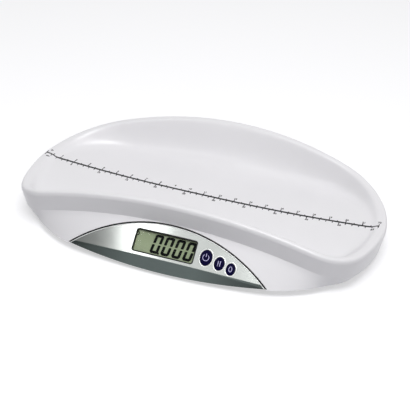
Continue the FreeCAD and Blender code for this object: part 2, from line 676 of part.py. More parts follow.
def make_base_cover():
    slab = box("cover_slab", BULK, BULK, "cover_thick", z="base_height")
    plate = common("cover_plate", slab, cover_limit)
    front = common("cover_front_cut",
                   box("cover_front_room", "2 * (panel_half + 2 * gasket_width)", BULK, BULK,
                       y=f"-panel_back + cover_gap - {BULK / 2}"),
                   panel_opening("cover_front_edge", "2 * gasket_width"))
    bay = box("bay_block", f"{BAY_LENGTH} + 2 * bay_wall", f"{BAY_WIDTH} + 2 * bay_wall",
              f"{BATTERY_HEIGHT} + cell_radius + seat_gap + bay_wall - base_height",
              y="bay_middle", z="base_height")
    room = box("bay_room", BAY_LENGTH, BAY_WIDTH,
               f"{BATTERY_HEIGHT} + cell_radius + seat_gap - base_height", y="bay_middle", z="base_height")
    hook_slots = [box(f"hook_slot_{side}", "hook_width + 2 * door_gap", "4 * bay_wall",
                      "2 * hook_thick + seat_gap", f"{side} * cell_pitch", BAY_FRONT, BASE_TOP)
                  for side in (-1, 1)]
    wire_holes = [box(f"wire_hole_{side}", "2 * (loom_radius + screw_gap)", "2 * bay_wall",
                      "2 * (loom_radius + screw_gap)", f"{side} * 1.5 * cell_pitch",
                      f"{BAY_FRONT} - bay_wall", BASE_TOP) for side in (-1, 1)]
    foot_holes = [rod(f"foot_hole_{name}", "foot_disc + foot_gap", "cover_thick", f"{sign} * cell_across", y,
                      "base_height") for name, sign, y in cell_places()]
    screw_holes = []
    ears = [(f"ear_{side}", f"{side} * ear_across", "-panel_back + ear_side / 2") for side in (-1, 1)]
    for name, x, y in screw_places() + ears:
        screw_holes.append(rod(f"screw_hole_{name}", "base_screw + screw_gap", "cover_thick", x, y,
                               "base_height"))
        screw_holes.append(rod(f"screw_sink_{name}", "screw_head + screw_gap", "screw_head_high", x, y,
                               "base_height"))
        make_base_screw(name, x, y)
    solid = fuse("cover_solid", plate, bay)
    cut("base_cover", solid, front, room, *hook_slots, *wire_holes, *foot_holes, *screw_holes)


def make_base_screw(name, x, y):
    bore = "ear_thick" if "ear" in name else "base_screw_length"
    length = f"(cover_thick - screw_head_high + {bore} - bore_spare)"
    head = rod(f"head_{name}", "screw_head", "screw_head_high", x, y, "base_height")
    shank = rod(f"shank_{name}", "base_screw", length, x, y, "base_height + screw_head_high")
    fuse(f"base_screw_{name}".replace("ear_-1", "panel_left").replace("ear_1", "panel_right"), head, shank)


def make_cells():
    for name, sign, y in cell_places():
        x = f"{sign} * cell_across"
        plate = box(f"cell_plate_{name}", "cell_side", "cell_side", "cell_thick", x, y, CELL_HEIGHT)
        slot = box(f"cell_slot_{name}", "tongue_side + 2 * cell_slot", "tongue_side + 2 * cell_slot",
                   "cell_thick", x, y, CELL_HEIGHT)
        tongue = box(f"cell_tongue_{name}", "tongue_side", "tongue_side + cell_slot", "cell_thick", x,
                     f"{y} + cell_slot / 2", CELL_HEIGHT)
        cut(f"load_cell_{name}", plate, cut(f"cell_gap_{name}", slot, tongue))

        outer = "(cell_side + 2 * (seat_gap + carrier_wall))"
        block = box(f"carrier_block_{name}", outer, outer,
                    f"{CELL_HEIGHT} + cell_thick + carrier_roof - {BASE_TOP}", x, y, BASE_TOP)
        pocket = box(f"carrier_pocket_{name}", "cell_side + 2 * seat_gap", "cell_side + 2 * seat_gap",
                     f"{CELL_HEIGHT} + cell_thick - {BASE_TOP}", x, y, BASE_TOP)
        flex = box(f"carrier_flex_{name}", "tongue_side + 4 * cell_slot", "tongue_side + 4 * cell_slot",
                   "flex_room", x, y, f"{CELL_HEIGHT} + cell_thick")
        notch = box(f"carrier_notch_{name}", "3 * carrier_wall", "loom_notch", "2 * (loom_radius + screw_gap)",
                    f"{sign} * (cell_across - cell_side / 2 - seat_gap - carrier_wall / 2)", y, BASE_TOP)
        cut(f"cell_carrier_{name}", block, pocket, flex, notch)

        disc_low = "(pad_thick - pad_inset)"
        disc = rod(f"foot_body_{name}", "foot_disc", f"{BASE_TOP} - foot_drop - {disc_low}", x, y, disc_low)
        stem = rod(f"foot_stem_{name}", "foot_stem", f"{CELL_HEIGHT} - {disc_low}", x, y, disc_low)
        recess = rod(f"foot_recess_{name}", "pad_radius", "pad_inset", x, y, disc_low)
        cut(f"foot_{name}", fuse(f"foot_blank_{name}", disc, stem), recess)
        rod(f"foot_pad_{name}", "pad_radius", "pad_thick", x, y)


# ---------------------------------------------------------------- batteries
def along_y(item):
    item.Placement.Rotation = FreeCAD.Rotation(Vector(1, 0, 0), -90)
    return item


def spring(x, y, direction):
    """Compressed contact spring standing on its plate along y."""
    wire_radius = mm("spring_wire")
    length = mm("spring_length") - 2 * wire_radius
    coil = Part.makeHelix(length / 3, length, mm("spring_radius"))
    profile = Part.Wire(Part.Circle(Vector(mm("spring_radius"), 0, 0), Vector(0, 1, 0), wire_radius).toShape())
    pipe = Part.Wire(coil.Edges).makePipeShell([profile], True, True)
    height = mm("base_height") + mm("door_thick") + mm("seat_gap") + mm("cell_radius")
    turn = FreeCAD.Rotation(Vector(1, 0, 0), -90 * direction)
    pipe.Placement = FreeCAD.Placement(Vector(x, y + direction * wire_radius / 2, height), turn)
    return pipe


def make_contact(name, end, plus, minus):
    """Contact plate at one end of the bay (end -1 front, 1 back) for the batteries it joins."""
    middle = mm("bay_middle")
    width = mm("cell_length") + mm("cap_length") + mm("spring_length") + 2 * mm("contact_thick")
    thick, pitch = mm("contact_thick"), mm("cell_pitch")
    height = mm("base_height") + mm("door_thick") + mm("seat_gap") + mm("cell_radius")
    places = [(index - 1.5) * pitch for index in (plus, minus) if index is not None]
    low = mm("base_height") + mm("cover_thick") if len(places) == 1 else height - mm("contact_high")
    high = height + mm("contact_high")
    left, right = min(places) - mm("contact_side"), max(places) + mm("contact_side")
    face = middle + end * (width / 2 - thick)
    plate = Part.makeBox(right - left, thick, high - low, Vector(left, min(face, face + end * thick), low))
    if minus is not None:
        plate = plate.fuse(spring((minus - 1.5) * pitch, face, -end))
    return freeform(name, plate)


def make_batteries():
    for index in range(4):
        start = f"({BAY_FRONT} + contact_thick + {'spring_length' if index % 2 == 0 else 'cap_length'})"
        cap_at = f"({start} + cell_length)" if index % 2 == 0 else f"({start} - cap_length)"
        x = f"{index - 1.5} * cell_pitch"
        can = rod(f"battery_can_{index + 1}", "cell_radius", "cell_length", x, start, BATTERY_HEIGHT)
        cap = rod(f"battery_cap_{index + 1}", "cap_radius", "cap_length", x, cap_at, BATTERY_HEIGHT)
        fuse(f"battery_{index + 1}", along_y(can), along_y(cap))
    make_contact("contact_minus", -1, None, 0)
    make_contact("contact_bridge_front", -1, 1, 2)
    make_contact("contact_plus", -1, 3, None)
    make_contact("contact_bridge_left", 1, 0, 1)
    make_contact("contact_bridge_right", 1, 2, 3)


def make_battery_door():
    leaf = box("door_leaf", f"{BAY_LENGTH} - 2 * door_gap", f"{BAY_WIDTH} - 2 * door_gap", "door_thick",
               y="bay_middle", z="base_height")
    hook_low = f"({BASE_TOP} + seat_gap)"
    hooks = []
    for side in (-1, 1):
        hooks.append(box(f"hook_post_{side}", "hook_width", "hook_thick",
                         f"{hook_low} + hook_thick - base_height - door_thick", f"{side} * cell_pitch",
                         f"{BAY_FRONT} + door_gap + hook_thick / 2", "base_height + door_thick"))
        hooks.append(box(f"hook_arm_{side}", "hook_width", "hook_thick + door_gap + hook_reach", "hook_thick",
                         f"{side} * cell_pitch",
                         f"{BAY_FRONT} + (door_gap + hook_thick + door_gap - hook_reach) / 2 - door_gap / 2",
                         hook_low))
    latch = box("door_latch", "hook_width", "hook_thick", "hook_thick + seat_gap",
                y=f"{BAY_FRONT} + {BAY_WIDTH} - door_gap - hook_thick / 2 - contact_thick",
                z="base_height + door_thick")
    grip = box("door_grip", "3 * hook_width", "hook_thick", "door_thick / 2",
               y=f"{BAY_FRONT} + {BAY_WIDTH} - 6 * hook_thick", z="base_height")
    cut("battery_door", fuse("door_solid", leaf, *hooks, latch), grip)


# ---------------------------------------------------------------- looms
def route_wire(points, bend):
    """Straight runs joined by tangent arcs."""
    edges, start = [], points[0]
    for before, corner, after in zip(points, points[1:], points[2:]):
        toward = (before - corner).normalize()
        away = (after - corner).normalize()
        half = toward.getAngle(away) / 2
        back = bend / math.tan(half)
        centre = corner + (toward + away).normalize() * (bend / math.sin(half))
        middle = centre + (corner - centre).normalize() * bend
        first, last = corner + toward * back, corner + away * back
        edges.append(Part.makeLine(start, first))
        edges.append(Part.Arc(first, middle, last).toShape())
        start = last
    edges.append(Part.makeLine(start, points[-1]))
    return Part.Wire(edges)


def make_loom(name, points):
    route = route_wire(points, mm("loom_bend"))
    start = (points[1] - points[0]).normalize()
    profile = Part.Wire(Part.Circle(points[0], start, mm("loom_radius")).toShape())
    return freeform(name, route.makePipeShell([profile], True, False))


def make_looms():
    slope = math.radians(mm("face_angle"))
    up = Vector(0, math.cos(slope), math.sin(slope))
    out = Vector(0, -math.sin(slope), math.cos(slope))
    crease = Vector(0, -mm("crease_front"), mm("crease_height"))
    deep = mm("board_depth") + mm("board_thick") + mm("connector_side") / 2
    exit_point = crease + up * (mm("connector_up") + mm("connector_side") / 2) - out * deep
    rise = mm("loom_rise")
    level = exit_point + up * ((rise - exit_point.z) / up.z)
    low = mm("base_height") + mm("cover_thick") + mm("loom_radius")
    bay_front = mm("bay_middle") - (mm("cell_length") + mm("cap_length") + mm("spring_length")) / 2
    bay_front -= mm("contact_thick")

    def leave(slot):
        x = mm("connector_middle") + (slot - 2.5) * mm("loom_pitch")
        return [Vector(x, exit_point.y, exit_point.z), Vector(x, level.y, rise),
                Vector(x, -mm("loom_drop"), rise), Vector(x, -mm("loom_drop"), low)]

    plate_side = mm("cell_across") - mm("cell_side") / 2
    inside = plate_side + mm("loom_under")
    for side, sign, near, far in (("left", -1, 0, 1), ("right", 1, 5, 4)):
        lane = -mm("loom_lane")
        front = leave(near)
        corner = plate_side - mm("loom_aside")
        front += [Vector(front[0].x, lane, low), Vector(sign * corner, lane, low),
                  Vector(sign * corner, -mm("cell_front"), low), Vector(sign * inside, -mm("cell_front"), low)]
        make_loom(f"cell_loom_front_{side}", front)
        back = leave(far)
        lane += mm("lane_step")
        turn = sign * mm("loom_turn")
        back += [Vector(back[0].x, lane, low), Vector(turn, lane, low), Vector(turn, mm("cell_back"), low),
                 Vector(sign * inside, mm("cell_back"), low)]
        make_loom(f"cell_loom_back_{side}", back)
    terminal = 1.5 * mm("cell_pitch")
    near = bay_front - mm("terminal_near")
    for name, slot, x, y in (("minus", 2, -terminal, near - mm("terminal_step")), ("plus", 3, terminal, near)):
        run = leave(slot)
        run += [Vector(run[0].x, y, low), Vector(x, y, low), Vector(x, bay_front, low)]
        make_loom(f"battery_loom_{name}", run)


make_tray_shell()
make_control_panel()
make_panel_gasket()
make_display()
make_board()
make_buttons()
make_base_cover()
make_cells()
make_batteries()
make_battery_door()
make_looms()

doc.recompute()
os.makedirs("parts", exist_ok=True)
used = {child.Name for item in doc.Objects for child in item.OutList}
for item in doc.Objects:
    if item.Name in used or not hasattr(item, "Shape"):
        continue
    if {"Invalid", "Error"} & set(item.State) or item.Shape.isNull() or not item.Shape.isValid():
        raise RuntimeError(f"{item.Name} did not build: {item.State}")
    item.Shape.exportStep(f"parts/{item.Label}.step")
    box_size = item.Shape.BoundBox
    print(item.Label, len(item.Shape.Solids), box_size)
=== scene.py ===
import json
import math
import bmesh
import bpy
from mathutils import Matrix, Vector
from mathutils.bvhtree import BVHTree


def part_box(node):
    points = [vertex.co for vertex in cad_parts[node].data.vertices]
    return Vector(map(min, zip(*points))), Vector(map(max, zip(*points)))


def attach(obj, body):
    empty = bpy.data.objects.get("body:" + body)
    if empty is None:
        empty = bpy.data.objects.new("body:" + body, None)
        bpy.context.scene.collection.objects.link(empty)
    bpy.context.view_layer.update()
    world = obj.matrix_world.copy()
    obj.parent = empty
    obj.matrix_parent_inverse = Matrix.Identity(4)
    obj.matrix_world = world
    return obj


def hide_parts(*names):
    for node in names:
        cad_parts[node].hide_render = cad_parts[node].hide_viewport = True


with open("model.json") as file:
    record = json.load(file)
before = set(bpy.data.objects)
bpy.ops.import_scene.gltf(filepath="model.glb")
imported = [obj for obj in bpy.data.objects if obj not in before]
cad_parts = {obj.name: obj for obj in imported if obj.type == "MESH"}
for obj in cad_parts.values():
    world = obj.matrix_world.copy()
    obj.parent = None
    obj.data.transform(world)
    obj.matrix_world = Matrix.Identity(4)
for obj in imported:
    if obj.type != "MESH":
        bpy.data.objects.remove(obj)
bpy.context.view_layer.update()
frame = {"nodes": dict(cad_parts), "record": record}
scene = bpy.context.scene
cadNodes = frame["nodes"]
print("frame loaded:", len(cadNodes), "CAD nodes")


def linear(hexColour):
    # "#rrggbb" in sRGB to linear colour with alpha 1
    channels = [int(hexColour[i:i + 2], 16) / 255 for i in (1, 3, 5)]
    return tuple(c / 12.92 if c <= 0.04045 else ((c + 0.055) / 1.055) ** 2.4 for c in channels) + (1.0,)


def addNode(tree, kind, inputs=None, **settings):
    # adds a node; an input is linked where its value is a socket, and set otherwise
    node = tree.nodes.new(kind)
    for name, value in settings.items():
        setattr(node, name, value)
    for key, value in (inputs or {}).items():
        if isinstance(value, bpy.types.NodeSocket):
            tree.links.new(value, node.inputs[key])
        else:
            node.inputs[key].default_value = value
    return node


# camera: 83 mm lens, 1.46 m from the tray, a little from the right and above
cameraSet = {"target": (0, -0.0121, 0.052), "azimuth": 21.324, "elevation": 32.905, "roll": 0.218,
             "distance": 1.456, "lens": 83.44, "sensor": 36, "shiftX": 0.0179, "shiftY": -0.0210,
             "nearest": 0.02, "farthest": 60}


def makeCamera(setup):
    azimuth, elevation, roll = (math.radians(setup[key]) for key in ("azimuth", "elevation", "roll"))
    back = Vector((math.sin(azimuth) * math.cos(elevation), -math.cos(azimuth) * math.cos(elevation),
                   math.sin(elevation)))
    right = Vector((math.cos(azimuth), math.sin(azimuth), 0))
    up = back.cross(right)
    turnedRight = math.cos(roll) * right + math.sin(roll) * up
    turnedUp = -math.sin(roll) * right + math.cos(roll) * up
    camera = bpy.data.objects.new("camera", bpy.data.cameras.new("camera"))
    scene.collection.objects.link(camera)
    place = Matrix((turnedRight, turnedUp, back)).transposed().to_4x4()
    place.translation = Vector(setup["target"]) + back * setup["distance"]
    camera.matrix_world = place
    camera.data.lens = setup["lens"]
    camera.data.sensor_width = setup["sensor"]
    camera.data.shift_x = setup["shiftX"]
    camera.data.shift_y = setup["shiftY"]
    camera.data.clip_start = setup["nearest"]
    camera.data.clip_end = setup["farthest"]
    scene.camera = camera


makeCamera(cameraSet)
scene.view_settings.view_transform = "Standard"

# studio: a large soft lamp overhead, a small weak one at the front left, pale floor, white air that turns
# dark at the left, so that the silver face has a dark end
# lamps: name, place, aim, diameter, power, colour
studioSet = {
    "lamps": [("lampTop", (0.35, -0.6, 1.9), (0, 0, 0.05), 1.2, 25.0, "#ffffff"),
              ("lampPanel", (-0.81, -0.98, 1.41), (0, -0.1, 0.05), 0.4, 2.0, "#ffffff")],
    "floorSize": 14, "floorColour": "#cfcfd2", "floorGlow": 0.5,
    "darkSide": (-0.88, -0.45, 0.1), "darkFrom": 0.71, "darkTo": 0.79, "airLight": 0.4, "airShown": 1.0,
    "darkLight": 0.02}


def makeStudio(setup):
    for name, place, target, size, power, colour in setup["lamps"]:
        lamp = bpy.data.objects.new(name, bpy.data.lights.new(name, "AREA"))
        scene.collection.objects.link(lamp)
        lamp.location = place
        lamp.rotation_euler = (Vector(target) - Vector(place)).to_track_quat("-Z", "Y").to_euler()
        lamp.data.shape = "DISK"
        lamp.data.size = size
        lamp.data.energy = power
        lamp.data.color = linear(colour)[:3]
    world = bpy.data.worlds.new("studioAir")
    world.use_nodes = True
    scene.world = world
    tree = world.node_tree
    tree.nodes.clear()
    path = addNode(tree, "ShaderNodeLightPath")
    seen = addNode(tree, "ShaderNodeMath",
                   {0: path.outputs["Is Camera Ray"], 1: path.outputs["Is Transmission Ray"]}, operation="MAXIMUM")
    shown = addNode(tree, "ShaderNodeMath", {0: seen.outputs[0], 1: path.outputs["Is Glossy Ray"]},
                    operation="MAXIMUM")
    strength = addNode(tree, "ShaderNodeMapRange",
                       {"Value": shown.outputs[0], "To Min": setup["airLight"], "To Max": setup["airShown"]})
    coords = addNode(tree, "ShaderNodeTexCoord")
    towardsDark = Vector(setup["darkSide"]).normalized()
    side = addNode(tree, "ShaderNodeVectorMath", {0: coords.outputs["Generated"], 1: towardsDark},
                   operation="DOT_PRODUCT")
    shade = addNode(tree, "ShaderNodeMapRange",
                    {"Value": side.outputs["Value"], "From Min": setup["darkFrom"], "From Max": setup["darkTo"],
                     "To Min": 1.0, "To Max": setup["darkLight"]}, interpolation_type="SMOOTHSTEP")
    light = addNode(tree, "ShaderNodeMath", {0: strength.outputs[0], 1: shade.outputs[0]}, operation="MULTIPLY")
    air = addNode(tree, "ShaderNodeBackground", {"Color": (1, 1, 1, 1), "Strength": light.outputs[0]})
    addNode(tree, "ShaderNodeOutputWorld", {"Surface": air.outputs[0]})
    half = setup["floorSize"] / 2
    mesh = bpy.data.meshes.new("floor")
    mesh.from_pydata([(-half, -half, 0), (half, -half, 0), (half, half, 0), (-half, half, 0)], [], [(0, 1, 2, 3)])
    floor = bpy.data.objects.new("floor", mesh)
    scene.collection.objects.link(floor)
    material = bpy.data.materials.new("paleFloor")
    material.use_nodes = True
    tree = material.node_tree
    tree.nodes.clear()
    path = addNode(tree, "ShaderNodeLightPath")
    seen = addNode(tree, "ShaderNodeMath", {0: path.outputs["Is Camera Ray"], 1: path.outputs["Is Glossy Ray"]},
                   operation="MAXIMUM")
    shown = addNode(tree, "ShaderNodeMath", {0: seen.outputs[0], 1: path.outputs["Is Transmission Ray"]},
                    operation="MAXIMUM")
    glow = addNode(tree, "ShaderNodeMath", {0: shown.outputs[0], 1: setup["floorGlow"]}, operation="MULTIPLY")
    paint = addNode(tree, "ShaderNodeBsdfDiffuse", {"Color": linear(setup["floorColour"])})
    light = addNode(tree, "ShaderNodeEmission", {"Strength": glow.outputs[0]})
    both = addNode(tree, "ShaderNodeAddShader", {0: paint.outputs[0], 1: light.outputs[0]})
    addNode(tree, "ShaderNodeOutputMaterial", {"Surface": both.outputs[0]})
    mesh.materials.append(material)


makeStudio(studioSet)
print("camera and studio set")

def addTexture(tree, kind, size, detail=2.0, stretch=(1, 1, 1)):
    # a texture on object coordinates whose features are size metres apart
    coords = addNode(tree, "ShaderNodeTexCoord")
    spread = addNode(tree, "ShaderNodeMapping", {"Vector": coords.outputs["Object"], "Scale": stretch})
    return addNode(tree, kind, {"Vector": spread.outputs[0], "Scale": 1 / size, "Detail": detail})


def makeMaterial(name, colour, roughness, grain, depth, metallic=0.0, ior=1.5, blotch=0.06, spread=0.05,
                 shade=0.03, stretch=(1, 1, 1)):
    # grain: spacing of the surface texture in metres, depth: its relief, blotch: size of the uneven patches,
    # spread: how far their roughness varies, shade: how far their colour darkens
    material = bpy.data.materials.new(name)
    material.use_nodes = True
    tree = material.node_tree
    shader = tree.nodes["Principled BSDF"]
    shader.inputs["Metallic"].default_value = metallic
    shader.inputs["IOR"].default_value = ior
    uneven = addTexture(tree, "ShaderNodeTexNoise", blotch)
    patches = {"Value": uneven.outputs[0], "From Min": 0.2, "From Max": 0.8}
    gloss = addNode(tree, "ShaderNodeMapRange",
                    {**patches, "To Min": roughness - spread, "To Max": roughness + spread},
                    interpolation_type="SMOOTHSTEP")
    tree.links.new(gloss.outputs[0], shader.inputs["Roughness"])
    tone = addNode(tree, "ShaderNodeMapRange", {**patches, "To Min": 1 - shade, "To Max": 1.0},
                   interpolation_type="SMOOTHSTEP")
    paint = addNode(tree, "ShaderNodeVectorMath", {0: linear(colour)[:3], "Scale": tone.outputs[0]},
                    operation="SCALE")
    tree.links.new(paint.outputs[0], shader.inputs["Base Color"])
    fine = addTexture(tree, "ShaderNodeTexNoise", grain, 3.0, stretch)
    relief = addNode(tree, "ShaderNodeBump", {"Height": fine.outputs[0], "Distance": depth, "Strength": 1.0})
    tree.links.new(relief.outputs[0], shader.inputs["Normal"])
    return material


def mixPaint(material, mask, colour, roughness=None):
    # lays a second colour over the first where the mask socket is 1
    tree = material.node_tree
    shader = tree.nodes["Principled BSDF"]
    for key, value, kind in (("Base Color", linear(colour), "RGBA"), ("Roughness", roughness, "FLOAT")):
        if value is None:
            continue
        first = 6 if kind == "RGBA" else 2
        before = shader.inputs[key].links[0].from_socket
        mix = addNode(tree, "ShaderNodeMix", {0: mask, first: before, first + 1: value}, data_type=kind)
        tree.links.new(mix.outputs[2 if kind == "RGBA" else 0], shader.inputs[key])


def bandMask(material, place, axis, start, end, soft=0.0002):
    # 1 between start and end metres from place along axis
    tree = material.node_tree
    coords = addNode(tree, "ShaderNodeTexCoord")
    away = addNode(tree, "ShaderNodeVectorMath", {0: coords.outputs["Object"], 1: place}, operation="SUBTRACT")
    along = addNode(tree, "ShaderNodeVectorMath", {0: away.outputs[0], 1: axis}, operation="DOT_PRODUCT")
    reach = along.outputs["Value"]
    rise = addNode(tree, "ShaderNodeMapRange",
                   {"Value": reach, "From Min": start - soft, "From Max": start + soft})
    fall = addNode(tree, "ShaderNodeMapRange", {"Value": reach, "From Min": end - soft, "From Max": end + soft,
                                                "To Min": 1.0, "To Max": 0.0})
    band = addNode(tree, "ShaderNodeMath", {0: rise.outputs[0], 1: fall.outputs[0]}, operation="MULTIPLY")
    return band.outputs[0]


# the pod's face: middle of its lower crease, slope in degrees, radius of its lengthwise bow, half length,
# reach up the slope, and how far the tips lie below the crease's middle
podSet = {"crease": (0, -0.1499, 0.026), "slope": 43.8, "bow": 0.952, "halfLength": 0.153, "reach": 0.051,
          "tipDrop": 0.0048}
slopeTurn = math.radians(podSet["slope"])
upSlope = Vector((0, math.cos(slopeTurn), math.sin(slopeTurn)))
outFace = Vector((0, -math.sin(slopeTurn), math.cos(slopeTurn)))


def onFace(x, up, out=0.0):
    # point x along the crease, up the slope and out of it
    return Vector(podSet["crease"]) + Vector((x, 0, 0)) + upSlope * up + outFace * out


def faceSag(x):
    # how far the bowed face lies under its middle
    return podSet["bow"] - math.sqrt(podSet["bow"] ** 2 - x ** 2)


def faceBox(node):
    # lowest and highest (x, up, out) of a CAD node in the face's own directions
    places = [vertex.co - Vector(podSet["crease"]) for vertex in cadNodes[node].data.vertices]
    rows = [(place.x, place.dot(upSlope), place.dot(outFace)) for place in places]
    return Vector(map(min, zip(*rows))), Vector(map(max, zip(*rows)))


# finishes: name, colour, roughness, grain, depth of the grain
# gloss white ABS from a polished mould: wide soft highlights, a faint orange peel and slightly uneven tone
glossWhiteAbs = makeMaterial("glossWhiteAbs", "#e8e7ea", 0.28, 0.012, 0.00002, blotch=0.05, spread=0.0,
                             shade=0.012)
# white ABS from a spark-eroded mould: fine matt grain, drawn at 0.5 mm so that it shows
sparkErodedAbs = makeMaterial("sparkErodedAbs", "#dcdce0", 0.55, 0.0005, 0.00004, spread=0.06)
# satin silver lacquer over ABS: metal flake gives a soft metallic sheen; below the crease the colour is painted
# slate grey, a painted shade and reflection on the downward face
silverLacquer = makeMaterial("silverLacquer", "#bfc3c0", 0.2, 0.0007, 0.000006, metallic=0.7, spread=0.03,
                             shade=0.04)
paintedUnderShadeMask = bandMask(silverLacquer, podSet["crease"], upSlope, -0.2, -0.0004)
# painted shade and reflection: the face below the crease is coloured dark slate
mixPaint(silverLacquer, paintedUnderShadeMask, "#5f6967", 0.42)
# the painted shade under the crease deepens towards both tips
for side in (1, -1):
    paintedTipShadeMask = addNode(silverLacquer.node_tree, "ShaderNodeMath",
                      {0: bandMask(silverLacquer, (0, 0, 0), (side, 0, 0), 0.11, 0.5, 0.06), 1: paintedUnderShadeMask},
                      operation="MULTIPLY")
    mixPaint(silverLacquer, paintedTipShadeMask.outputs[0], "#242928")
# carbon black elastomer: matt, slightly mottled
blackElastomer = makeMaterial("blackElastomer", "#060607", 0.6, 0.0006, 0.00003, ior=1.3, spread=0.1)
# black ABS, moulded satin, for the display frame and the window liner; the liner also stands in for the shade on
# the window's recess walls
blackAbs = makeMaterial("blackAbs", "#08090a", 0.42, 0.0006, 0.00002, ior=1.3)
# grey-green reflective polariser of a twisted-nematic display: pearly, with painted shade that darkens it towards
# its top edge
displayFilm = makeMaterial("displayFilm", "#8f9d7a", 0.3, 0.0009, 0.000004, blotch=0.03, spread=0.05, shade=0.05)
mixPaint(displayFilm, bandMask(displayFilm, podSet["crease"], upSlope, 0.028, 0.2, 0.012), "#7c8a66")
# darkened liquid crystal: near-black segments with a trace of blue
darkCrystal = makeMaterial("darkCrystal", "#020304", 0.3, 0.001, 0.000002, ior=1.08)
# navy ABS buttons, satin from the mould: soft highlight on the dome
navyAbs = makeMaterial("navyAbs", "#05032e", 0.28, 0.0006, 0.00001, ior=1.12, spread=0.05)
# pad-printed lavender white ink: slightly chalky
paleInk = makeMaterial("paleInk", "#c9c5ee", 0.5, 0.0005, 0.00001)
# screen-printed black ink on the tray: satin, thin, a little uneven
rulerInk = makeMaterial("rulerInk", "#0e0e14", 0.4, 0.0006, 0.000008, ior=1.3, spread=0.08, shade=0.2)
# pale silver lacquer: the bead along the pod's edge is a painted highlight, the rings round the buttons are trim
# with a painted highlight on their edges
paleTrimAndHighlight = makeMaterial("paleTrimAndHighlight", "#e9ebea", 0.25, 0.0007, 0.000004, metallic=0.3, spread=0.03)
# nitrile rubber foot pads: matt dark grey, dusty
nitrilePad = makeMaterial("nitrilePad", "#26272a", 0.75, 0.0008, 0.00008, spread=0.1, shade=0.25)
# grey polypropylene feet: waxy satin
greyPolypropylene = makeMaterial("greyPolypropylene", "#8d8f93", 0.42, 0.0009, 0.00003, spread=0.07)
# darker glass-filled nylon carriers: matt with a fibre grain
glassFilledNylon = makeMaterial("glassFilledNylon", "#56575b", 0.6, 0.0007, 0.00004, stretch=(1, 0.2, 1))
# nickel plate on spring steel: bright, fine rolling lines along x
nickelPlate = makeMaterial("nickelPlate", "#c8c6bf", 0.22, 0.0004, 0.000006, metallic=1.0, stretch=(0.08, 1, 1))
# zinc-plated screws: bluish, slightly cloudy
zincPlate = makeMaterial("zincPlate", "#b9bcc2", 0.3, 0.0005, 0.000008, metallic=1.0, blotch=0.002, spread=0.1)
# green solder mask over glass-epoxy board: glossy, the weave just shows
solderMask = makeMaterial("solderMask", "#14552e", 0.3, 0.0006, 0.00001, blotch=0.004, shade=0.25)
# moulded epoxy of chip and switches: matt black, gritty
epoxyBlack = makeMaterial("epoxyBlack", "#17181a", 0.55, 0.0003, 0.00002)
# ivory nylon connector: slightly glossy
ivoryNylon = makeMaterial("ivoryNylon", "#ded8c2", 0.4, 0.0008, 0.00001)
# brown phenolic switch plunger: satin
brownPhenolic = makeMaterial("brownPhenolic", "#4a2716", 0.4, 0.0005, 0.00001)
# layered silicone strip between display and board: grey and black layers 0.4 mm apart
zebraSilicone = makeMaterial("zebraSilicone", "#4c4c50", 0.6, 0.0004, 0.00003, stretch=(1, 0.05, 0.05), shade=0.5,
                             blotch=0.0008)


def makeLoomVinyl(name, colour):
    # soft vinyl jacket: satin, faintly wavy
    return makeMaterial(name, colour, 0.45, 0.003, 0.00005, blotch=0.01, shade=0.1)


# clear acrylic window: see-through, with a hard clean gloss
clearSet = {"alpha": 0.012, "roughness": 0.04, "ior": 1.49}
clearAcrylic = makeMaterial("clearAcrylic", "#7d857d", clearSet["roughness"], 0.02, 0.000002, ior=clearSet["ior"],
                            spread=0.015)
clearAcrylic.node_tree.nodes["Principled BSDF"].inputs["Alpha"].default_value = clearSet["alpha"]

# battery sleeve: steel ends, dark green shrink film with a copper band beside the cap
sleeveSet = {"steel": "#b8b9bb", "green": "#1d4a2e", "copper": "#b0703a", "film": (0.0012, 0.0478),
             "band": (0.034, 0.0478)}


def makeSleeve(name, node, plusAtBack):
    # bands run from the cell's flat end, which lies at the front for the odd numbers
    low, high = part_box(node)
    start, axis = (low, (0, 1, 0)) if plusAtBack else (high, (0, -1, 0))
    sleeve = makeMaterial(name, sleeveSet["steel"], 0.28, 0.0007, 0.00001, metallic=0.7, blotch=0.004)
    mixPaint(sleeve, bandMask(sleeve, start, axis, *sleeveSet["film"]), sleeveSet["green"], 0.35)
    mixPaint(sleeve, bandMask(sleeve, start, axis, *sleeveSet["band"]), sleeveSet["copper"], 0.3)
    return sleeve


slotFinish = {
    "shell_white": glossWhiteAbs, "base_white": sparkErodedAbs, "panel_silver": silverLacquer,
    "gasket_black": blackElastomer, "lens_clear": clearAcrylic, "display_glass": displayFilm,
    "frame_black": blackAbs, "contact_rubber": zebraSilicone, "board_green": solderMask, "chip_black": epoxyBlack,
    "connector_ivory": ivoryNylon, "button_navy": navyAbs, "switch_black": epoxyBlack,
    "plunger_brown": brownPhenolic, "cell_steel": nickelPlate, "carrier_grey": glassFilledNylon,
    "foot_grey": greyPolypropylene, "pad_rubber": nitrilePad, "screw_steel": zincPlate,
    "contact_nickel": nickelPlate, "loom_red": makeLoomVinyl("redVinyl", "#a01812"),
    "loom_black": makeLoomVinyl("blackVinyl", "#141416"), "loom_grey": makeLoomVinyl("greyVinyl", "#8c8c90")}
nodeSlots = {part["node"]: part["material_slot"] for part in frame["record"]["subparts"]}
for name, node in cadNodes.items():
    if nodeSlots[name] == "battery_wrap":
        finish = makeSleeve(name + "Sleeve", name, int(name[-1]) % 2 == 1)
    else:
        finish = slotFinish[nodeSlots[name]]
    node.data.materials.clear()
    node.data.materials.append(finish)
print("finishes laid on the CAD nodes")


